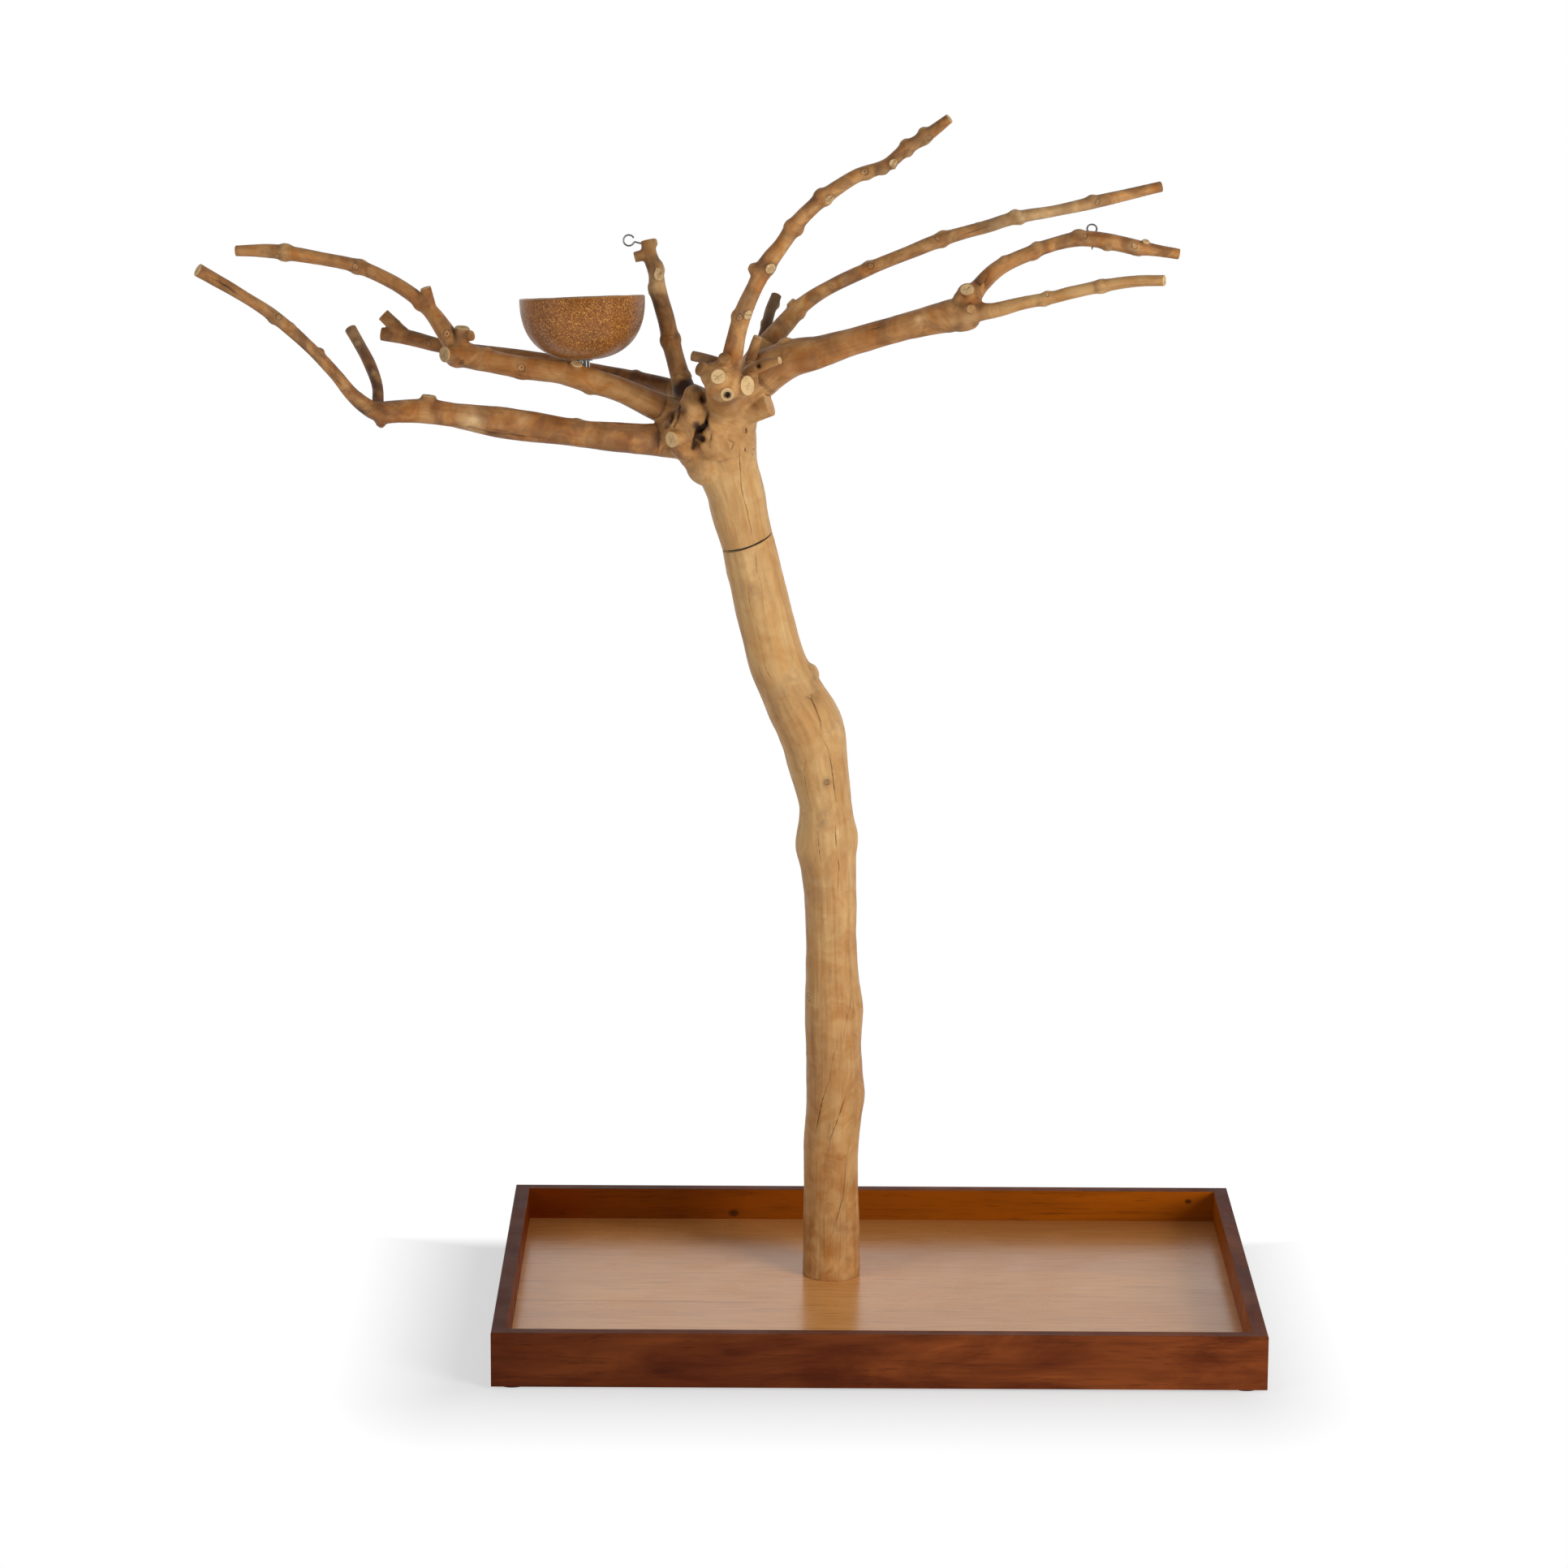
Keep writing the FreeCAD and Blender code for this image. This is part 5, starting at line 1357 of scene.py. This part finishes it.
    def make_sawn(self, wood):
        material, tree, shader = new_material("sawn_end_grain")
        cut = attribute(tree, "cut")
        where = object_place(tree)
        distance = vectors(tree, "LENGTH", cut)["Value"]
        bent = maths(tree, "ADD", distance, times(tree, noise(tree, where, 150.0, 3.0), 0.0022))
        rings = maths(tree, "SINE", times(tree, bent, 5600.0))
        fibres = noise(tree, where, 1100.0, 3.0, 0.6)
        soiled = span(tree, noise(tree, where, 90.0, 4.0, 0.7), 0.5, 0.74)
        base = mixed(tree, span(tree, rings, -1.0, 1.0, 0.0, 0.45), wood.sawn, srgb(184, 144, 94))
        base = mixed(tree, span(tree, fibres, 0.45, 0.7, 0.0, 0.25), base, srgb(156, 116, 72))
        base = laid(tree, base, soiled, 0.45, srgb(144, 102, 62))
        base = laid(tree, base, span(tree, bent, 0.0026, 0.0014), 0.4, srgb(150, 104, 60))
        split = noise(tree, vectors(tree, "NORMALIZE", cut)["Vector"], 3.2, 1.0)
        split = times(tree, span(tree, split, 0.45, 0.41), span(tree, distance, 0.0055, 0.002))
        base = laid(tree, base, split, 0.8, srgb(70, 42, 24))
        # Dark stains on the cut, together with the painted shade of its hollows and bores.
        base = laid(tree, base, parts_of(tree, attribute(tree, "marks_and_shade"))[0], 0.9, srgb(56, 34, 20))
        self.surface(tree, shader, base, 90.0, 0.62, 0.8, specular=0.25)
        bump(tree, shader, maths(tree, "ADD", fibres, times(tree, rings, 0.15)), 0.4, 0.0004)
        return material

    def make_rail(self, tray):
        material, tree, shader = new_material("stained_rail")
        where = object_place(tree)
        x, y, _ = parts_of(tree, where)
        x_far = maths(tree, "ABSOLUTE", x)
        y_far = maths(tree, "ABSOLUTE", y)
        past_end = maths(tree, "SUBTRACT", x_far, TRAY_LENGTH / 2)
        past_side = maths(tree, "SUBTRACT", y_far, TRAY_DEPTH / 2)
        along_side = stretched(tree, where, (0.05, 1.0, 1.0))
        along_end = stretched(tree, where, (1.0, 0.05, 1.0))
        choice = {0: maths(tree, "GREATER_THAN", past_end, past_side), 4: along_side, 5: along_end}
        place = put(tree, "ShaderNodeMix", choice, data_type="VECTOR").outputs[1]
        figure = self.figure(tree, place, 170.0, stretched(tree, where, (0.5, 0.5, 1.6)), 11.0)
        streaks = figure["Streaks"]
        skin = RAIL_THICKNESS - 0.4 * MM
        inner = times(
            tree, maths(tree, "LESS_THAN", x_far, TRAY_LENGTH / 2 - skin),
            maths(tree, "LESS_THAN", y_far, TRAY_DEPTH / 2 - skin),
        )
        thin = noise(tree, stretched(tree, where, (0.24, 0.24, 1.0)), 24.0, 5.0, 0.6, 0.8)
        outside = laid(tree, tray.outside, span(tree, thin, 0.38, 0.7), 0.75, tray.mottle)
        outside = mixed(tree, span(tree, streaks, 0.6, 0.0, 0.0, 0.35), outside, srgb(50, 20, 10))
        # Painted shade: the outside and the inside of the rails are painted darker towards the left end, away
        # from the lamp on the right.
        outside = mixed(tree, span(tree, x, 0.15, -TRAY_LENGTH / 2, 0.0, 0.6), outside, srgb(58, 22, 10))
        inside = mixed(tree, span(tree, x, -0.36, 0.2), srgb(88, 27, 1), tray.inside)
        inside = laid(tree, inside, figure["Clouds"], 0.6, srgb(118, 58, 8))
        inside = mixed(tree, span(tree, streaks, 0.5, 0.0, 0.0, 0.45), inside, srgb(88, 42, 8))
        base = mixed(tree, inner, outside, inside)
        for across, up, size in RAIL_KNOTS:
            offset = vectors(tree, "SUBTRACT", where, (across * MM, RAIL_KNOTS_BACK, up * MM))["Vector"]
            away = vectors(tree, "LENGTH", stretched(tree, offset, (0.7, 0.6, 1.0)))["Value"]
            knot = span(tree, away, size * MM, 0.45 * size * MM, 0.0, 0.85)
            base = mixed(tree, knot, base, srgb(52, 24, 8))
        base = laid(tree, base, figure["Pores"], 0.35, srgb(36, 16, 8))
        base = laid(tree, base, figure["Veins"], 0.4, srgb(36, 16, 8))
        self.surface(tree, shader, base, 24.0, 0.42, 0.56, specular=0.05)
        bump(tree, shader, figure["Height"], 0.1, 0.0004)
        return material

    def make_floor(self, tray):
        material, tree, shader = new_material("varnished_floor")
        where = object_place(tree)
        x, y, _ = parts_of(tree, where)
        cloud_place = stretched(tree, where, (0.2, 1.0, 1.0))
        figure = self.figure(tree, stretched(tree, where, (0.05, 1.0, 1.0)), 380.0, cloud_place, 12.0)
        streaks = figure["Streaks"]
        base = mixed(tree, figure["Clouds"], tray.floor, srgb(210, 142, 76))
        base = mixed(tree, span(tree, streaks, 0.5, 0.0, 0.0, 0.6), base, srgb(162, 104, 54))
        base = mixed(tree, span(tree, streaks, 0.6, 1.0, 0.0, 0.35), base, srgb(228, 170, 106))
        # Painted reflection of the amber back rail: the floor is painted darker and more orange towards the
        # back.
        base = mixed(tree, span(tree, y, 0.05, 0.24, 0.0, 0.6), base, srgb(142, 82, 34))
        from_seam = maths(tree, "ADD", maths(tree, "SUBTRACT", y, FLOOR_SEAM_BACK), times(tree, x, 0.02))
        seam = span(tree, maths(tree, "ABSOLUTE", from_seam), 0.0012, 0.0002)
        seam = times(tree, seam, span(tree, x, -0.06, -0.14))
        base = laid(tree, base, seam, 0.7, srgb(96, 58, 34))
        self.surface(tree, shader, base, 18.0, 0.2, 0.3)
        bump(tree, shader, noise(tree, stretched(tree, where, (0.3, 1.0, 1.0)), 70.0, 2.0), 0.05, 0.0004)
        return material

    def make_softwood(self):
        material, tree, shader = new_material("sawn_softwood")
        where = object_place(tree)
        figure = self.figure(tree, stretched(tree, where, (1.0, 0.05, 1.0)), 160.0, where, 8.0)
        base = mixed(tree, figure["Clouds"], srgb(196, 164, 120), srgb(176, 138, 94))
        base = mixed(tree, span(tree, figure["Streaks"], 0.5, 0.0, 0.0, 0.5), base, srgb(146, 108, 68))
        self.surface(tree, shader, base, 40.0, 0.6, 0.8)
        bump(tree, shader, figure["Height"], 0.3, 0.0005)
        return material

    def make_shell(self, bowl):
        material, tree, shader = new_material("speckled_shell")
        where = object_place(tree)
        cells = {"Vector": where, "Scale": 640.0, "Randomness": 1.0}
        specks = put(tree, "ShaderNodeTexVoronoi", cells).outputs
        chance = put(tree, "ShaderNodeSeparateColor", {0: specks["Color"]}).outputs[0]
        near = span(tree, specks["Distance"], 0.6, 0.25)
        spot = times(tree, near, span(tree, chance, 0.4, 1.0))
        fine = span(tree, noise(tree, where, 1000.0, 3.0, 0.6), 0.5, 0.64)
        clouds = span(tree, noise(tree, where, 26.0, 4.0, 0.6), 0.35, 0.65)
        base = mixed(tree, clouds, bowl.shell, srgb(130, 72, 22))
        base = laid(tree, base, spot, 0.9, bowl.fleck)
        base = laid(tree, base, fine, 0.4, srgb(206, 158, 88))
        pits = times(tree, near, maths(tree, "LESS_THAN", chance, 0.16))
        base = laid(tree, base, pits, 0.75, srgb(56, 28, 10))
        above_foot = vectors(tree, "SUBTRACT", where, tuple(BOWL_FOOT))["Vector"]
        rise = vectors(tree, "DOT_PRODUCT", above_foot, tuple(bowl_axis()))["Value"]
        lip = span(tree, rise, bowl.height - 2.4 * MM, bowl.height - 1.2 * MM)
        base = laid(tree, base, lip, 0.55, srgb(176, 128, 76))
        self.surface(tree, shader, base, 45.0, 0.28, 0.42, specular=0.4)
        bump(tree, shader, maths(tree, "SUBTRACT", times(tree, fine, 0.4), pits), 0.3, 0.0004)
        return material

    def make_metal(self, name, tint, least, most):
        material, tree, shader = new_material(name)
        brushed = noise(tree, stretched(tree, object_place(tree), (1.0, 1.0, 6.0)), 700.0, 3.0, 0.6)
        base = mixed(tree, brushed, srgb(*tint), srgb(*(channel * 0.86 for channel in tint)))
        self.surface(tree, shader, base, 160.0, least, most)
        bump(tree, shader, brushed, 0.05, 0.0002)
        shader.inputs["Metallic"].default_value = 1.0
        return material

    def make_rubber(self):
        material, tree, shader = new_material("black_rubber")
        pits = noise(tree, object_place(tree), 800.0, 3.0, 0.6)
        self.surface(tree, shader, mixed(tree, pits, srgb(24, 24, 25), srgb(42, 42, 43)), 80.0, 0.7, 0.9)
        bump(tree, shader, pits, 0.2, 0.0003)
        return material


made = {}


def finishes():
    if "finishes" not in made:
        made["finishes"] = Finishes(bpy.context.scene)
    return made["finishes"]


def coat(material, *nodes):
    """Gives CAD nodes a material."""
    for name in nodes:
        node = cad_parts[name]
        if not node.data.materials:
            node.data.materials.append(material)
        for slot in node.material_slots:
            slot.link = "OBJECT"
            slot.material = material


# ---- Operators ----------------------------------------------------------------------------------

class STAND_OT_tray(bpy.types.Operator):
    """Stains and varnishes the tray"""

    bl_idname = "stand.tray"
    bl_label = "Tray"

    def execute(self, context):
        kit = finishes()
        coat(kit.rail, "rail_front", "rail_right", "rail_back", "rail_left")
        coat(kit.floor, "tray_floor")
        coat(kit.softwood, "corner_blocks", "trunk_cleat")
        coat(kit.rubber, "foot_pads")
        return {"FINISHED"}


class STAND_OT_fixings(bpy.types.Operator):
    """Finishes the bolts, rods, screws, washers, inserts and screw eyes"""

    bl_idname = "stand.fixings"
    bl_label = "Fixings"

    def execute(self, context):
        kit = finishes()
        coat(
            kit.zinc, "rail_nails", "cleat_screws", "trunk_bolt", "trunk_bolt_washer", "trunk_screws",
            "crown_rod", "limb_dowels", "twig_dowels", "bowl_stud", "bowl_washer",
        )
        # Painted dark as the shade in the gap between trunk and crown.
        coat(kit.steel, "joint_washer")
        coat(kit.brass, "foot_insert", "trunk_rod_insert", "crown_rod_insert", "bowl_insert")
        coat(kit.nickel, "bowl_collar", "screw_eye_left", "screw_eye_right")
        return {"FINISHED"}


class STAND_OT_trunk(bpy.types.Operator):
    """Builds the lower trunk"""

    bl_idname = "stand.trunk"
    bl_label = "Trunk"

    def execute(self, context):
        kit = finishes()
        build_wood("lower_trunk", (kit.debarked, kit.sawn), "stand")
        return {"FINISHED"}


class STAND_OT_crown(bpy.types.Operator):
    """Builds the hub and every limb, arm, twig and stub of the crown"""

    bl_idname = "stand.crown"
    bl_label = "Crown"

    def execute(self, context):
        kit = finishes()
        build_wood("crown_hub", (kit.debarked, kit.sawn), "crown")
        for name in LIMBS:
            build_wood(name, (kit.debarked, kit.sawn), "crown")
        return {"FINISHED"}


def bowl_axis():
    return leaning(BOWL_LEANS_LEFT, BOWL_LEANS_BACK)


def cup_side(radius, height, foot, steps):
    """Points of a full, rounded cup from the middle of its foot to its rim: across and up."""
    power = bpy.context.scene.stand_bowl.fullness
    points = []
    for step in range(steps + 1):
        share = math.sin(math.pi / 2 * (1 - step / steps))
        points.append((radius * max(1 - share**power, 0) ** (1 / power), foot + height * (1 - share)))
    return points


def bowl_section(settings):
    """The outline that the bowl is turned from, out round the shell and back over its boss."""
    half = settings.wall / 2
    rim = settings.height - 0.2 * MM
    section = [(0, BOWL_BORE_DEPTH), (BOWL_BORE / 2, BOWL_BORE_DEPTH), (BOWL_BORE / 2, 0)]
    outside = cup_side(settings.radius, settings.height, -0.2 * MM, 44)
    section += [(x, max(z, 0)) for x, z in outside if x > BOWL_BORE / 2 + MM and z < rim - half]
    for step in range(7):
        turn = math.pi * step / 6
        lip_out = settings.radius - half + half * math.cos(turn)
        section.append((lip_out, rim - half + half * math.sin(turn)))
    inner_radius = settings.radius - settings.wall
    inside = cup_side(inner_radius, settings.height - settings.wall, settings.wall - 0.2 * MM, 40)
    section += [(x, z) for x, z in reversed(inside) if x > BOWL_BOSS / 2 + 2 * MM and z < rim - half - MM]
    boss = BOWL_BOSS / 2
    top = BOWL_BOSS_TOP
    section += [(boss + 0.6 * MM, settings.wall), (boss, settings.wall + 0.8 * MM), (boss, top - 1.2 * MM)]
    section += [(boss - 0.4 * MM, top - 0.4 * MM), (boss - 1.2 * MM, top), (0, top)]
    return section


def build_bowl(settings, material):
    """Turns the shell, then leaves it a little out of round with a hand-worked rim."""
    sides = 120
    section = bowl_section(settings)
    axis = bowl_axis()
    across = axis.cross(Vector((0, -1, 0))).normalized()
    front = across.cross(axis)
    vertices = []
    for x, z in section:
        for step in range(sides):
            angle = 2 * math.pi * step / sides
            vertices.append((x * math.cos(angle), x * math.sin(angle), z))
    points = np.array(vertices)
    rise = points[:, 2] / settings.height
    ring = np.stack([points[:, 0], points[:, 1], 0.3 * points[:, 2]], 1)
    worked = np.clip(rise, 0, 1) ** 2
    swell = 1 + 0.012 * soft_noise(ring, 46 * MM, 41) * np.clip(rise * 4, 0, 1)
    swell += 0.004 * soft_noise(ring, 16 * MM, 43) * worked
    points[:, 0] *= swell
    points[:, 1] *= swell
    waves = 0.9 * MM * soft_noise(ring, 40 * MM, 45) + 0.3 * MM * soft_noise(ring, 11 * MM, 47)
    points[:, 2] += worked * (waves - 0.4 * MM)
    faces = []
    for index in range(len(section) - 1):
        low, high = index * sides, (index + 1) * sides
        for step in range(sides):
            after = (step + 1) % sides
            faces.append((low + step, low + after, high + after, high + step))
    basis = Matrix((across, front, axis)).transposed()
    piece = new_object("speckled_bowl", [BOWL_FOOT + basis @ Vector(point) for point in points], faces)
    bm = bmesh.new()
    bm.from_mesh(piece.data)
    bmesh.ops.remove_doubles(bm, verts=list(bm.verts), dist=1e-6)
    bmesh.ops.recalc_face_normals(bm, faces=list(bm.faces))
    for face in bm.faces:
        face.smooth = True
    bm.to_mesh(piece.data)
    bm.free()
    piece.data.set_sharp_from_angle(angle=math.radians(50))
    piece.data.materials.append(material)
    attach(piece, "food_bowl")
    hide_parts("bowl")
    return piece


class STAND_OT_bowl(bpy.types.Operator):
    """Turns the food bowl"""

    bl_idname = "stand.bowl"
    bl_label = "Food bowl"

    def execute(self, context):
        build_bowl(context.scene.stand_bowl, finishes().shell)
        return {"FINISHED"}


FLOOR_CORNERS = [(-40, -12, 0), (40, -12, 0), (40, 60, 0), (-40, 60, 0)]
TREE_MIDDLE = (-0.1, 0, 0.75)
WINDOWS = ((0.70, -0.70, 0.12), (-0.78, -0.60, 0.19))
CAMERA_PLACE = (-0.101, -5.186, 1.682)
CAMERA_LOOKS_DOWN = 12.269
CAMERA_TURNS_LEFT = -0.053
CAMERA_ROLLS = 0.292


def lamp(name, place, width, height, power):
    """A soft lamp aimed at the middle of the tree, which nothing glossy mirrors."""
    data = bpy.data.lights.new(name, "AREA")
    data.shape = "RECTANGLE"
    data.size = width
    data.size_y = height
    data.energy = power
    light = bpy.data.objects.new(name, data)
    bpy.context.scene.collection.objects.link(light)
    light.location = place
    light.rotation_euler = (Vector(TREE_MIDDLE) - Vector(place)).to_track_quat("-Z", "Y").to_euler()
    light.visible_glossy = False


def background(tree, strength):
    return put(tree, "ShaderNodeBackground", {"Color": (1, 1, 1, 1), "Strength": strength}).outputs[0]


def set_floor():
    """A pale floor that keeps the shadow by the tray and goes to white away from it."""
    floor = new_object("studio_floor", FLOOR_CORNERS, [(0, 1, 2, 3)])
    material, tree, shader = new_material("pale_floor")
    where = object_place(tree)
    base = mixed(tree, noise(tree, where, 3.0, 3.0), (0.84, 0.84, 0.85, 1), (0.87, 0.87, 0.88, 1))
    feed(tree, shader.inputs["Base Color"], base)
    shader.inputs["Roughness"].default_value = 0.8
    x, y, _ = parts_of(tree, where)
    x_far = maths(tree, "ABSOLUTE", maths(tree, "ADD", x, 0.035))
    across = maths(tree, "MAXIMUM", maths(tree, "SUBTRACT", x_far, TRAY_LENGTH / 2), 0.0)
    across = times(tree, across, 1.5)
    ahead = maths(tree, "SUBTRACT", times(tree, y, -1.0), TRAY_DEPTH / 2)
    ahead = maths(tree, "MAXIMUM", ahead, 0.0)
    away = maths(tree, "ADD", maths(tree, "POWER", across, 2.0), maths(tree, "POWER", ahead, 2.0))
    near = span(tree, maths(tree, "SQRT", away), 0.0, 0.18, 0.55, 1.0)
    behind = span(tree, y, 0.16, 0.25)
    seen = put(tree, "ShaderNodeLightPath").outputs
    direct = maths(tree, "MAXIMUM", seen["Is Camera Ray"], seen["Is Glossy Ray"])
    direct = maths(tree, "MAXIMUM", direct, seen["Is Transmission Ray"])
    amount = times(tree, maths(tree, "MAXIMUM", near, behind), direct)
    glow = put(tree, "ShaderNodeEmission", {"Color": (1, 1, 1, 1), "Strength": 1.0}).outputs[0]
    output = next(n for n in tree.nodes if n.type == "OUTPUT_MATERIAL")
    feed(tree, output.inputs["Surface"], blended(tree, amount, shader.outputs[0], glow))
    floor.data.materials.append(material)


def set_sky(scene, strength):
    """White to the camera, a plain sky to the wood, and a room with two windows to what is glossy."""
    world = bpy.data.worlds.new("Soft sky")
    scene.world = world
    world.use_nodes = True
    tree = world.node_tree
    tree.nodes.clear()
    seen = put(tree, "ShaderNodeLightPath").outputs
    ahead = put(tree, "ShaderNodeTexCoord").outputs["Generated"]
    bright = maths(tree, "MAXIMUM", span(tree, parts_of(tree, ahead)[1], -0.1, 0.25), 0.14)
    for direction in WINDOWS:
        facing = vectors(tree, "DOT_PRODUCT", ahead, direction)["Value"]
        bright = maths(tree, "MAXIMUM", bright, span(tree, facing, 0.94, 0.98, 0.0, 1.4))
    mirrored = blended(tree, seen["Is Glossy Ray"], background(tree, strength), background(tree, bright))
    white = maths(tree, "MAXIMUM", seen["Is Camera Ray"], seen["Is Transmission Ray"])
    output = put(tree, "ShaderNodeOutputWorld")
    feed(tree, output.inputs["Surface"], blended(tree, white, mirrored, background(tree, 1.0)))


def set_camera(scene, lens):
    data = bpy.data.cameras.new("Camera")
    data.sensor_width = 36
    data.lens = lens
    data.clip_end = 200
    camera = bpy.data.objects.new("Camera", data)
    scene.collection.objects.link(camera)
    aim = Euler((math.radians(90 - CAMERA_LOOKS_DOWN), 0, math.radians(CAMERA_TURNS_LEFT))).to_matrix()
    turn = aim @ Matrix.Rotation(math.radians(CAMERA_ROLLS), 3, "Z")
    camera.matrix_world = Matrix.Translation(CAMERA_PLACE) @ turn.to_4x4()
    scene.camera = camera


class STAND_OT_stage(bpy.types.Operator):
    """Sets up the floor, the lamps, the sky and the camera"""

    bl_idname = "stand.stage"
    bl_label = "Stage"

    def execute(self, context):
        scene = context.scene
        settings = scene.stand_stage
        set_floor()
        set_sky(scene, settings.sky)
        lamp("Key", (3.0, -3.1, 1.3), 1.7, 1.9, settings.key_power)
        lamp("Fill", (-3.2, -2.4, 1.5), 1.6, 2.0, settings.fill_power)
        set_camera(scene, settings.lens)
        scene.view_settings.view_transform = "Standard"
        return {"FINISHED"}


class STAND_PT_panel(bpy.types.Panel):
    """Lists the pieces of the stand and their settings"""

    bl_label = "Play Stand"
    bl_idname = "STAND_PT_panel"
    bl_space_type = "VIEW_3D"
    bl_region_type = "UI"
    bl_category = "Play Stand"

    def draw(self, context):
        layout = self.layout
        for operator in OPERATORS:
            layout.operator(operator.bl_idname)
        for name, kind in SETTINGS.items():
            box = layout.box()
            group = getattr(context.scene, name)
            for field in kind.__annotations__:
                box.prop(group, field)


OPERATORS = (
    STAND_OT_tray, STAND_OT_fixings, STAND_OT_trunk, STAND_OT_crown, STAND_OT_bowl, STAND_OT_stage,
)
SETTINGS = {
    "stand_wood": WoodSettings,
    "stand_tray": TraySettings,
    "stand_bowl": BowlSettings,
    "stand_stage": StageSettings,
}


def register():
    for kind in (*SETTINGS.values(), *OPERATORS, STAND_PT_panel):
        bpy.utils.register_class(kind)
    for name, kind in SETTINGS.items():
        setattr(bpy.types.Scene, name, PointerProperty(type=kind))


def unregister():
    for name in SETTINGS:
        delattr(bpy.types.Scene, name)
    for kind in reversed((*SETTINGS.values(), *OPERATORS, STAND_PT_panel)):
        bpy.utils.unregister_class(kind)


def main():
    register()
    bpy.ops.stand.tray()
    bpy.ops.stand.fixings()
    bpy.ops.stand.trunk()
    bpy.ops.stand.crown()
    bpy.ops.stand.bowl()
    bpy.ops.stand.stage()


if __name__ == "__main__":
    main()
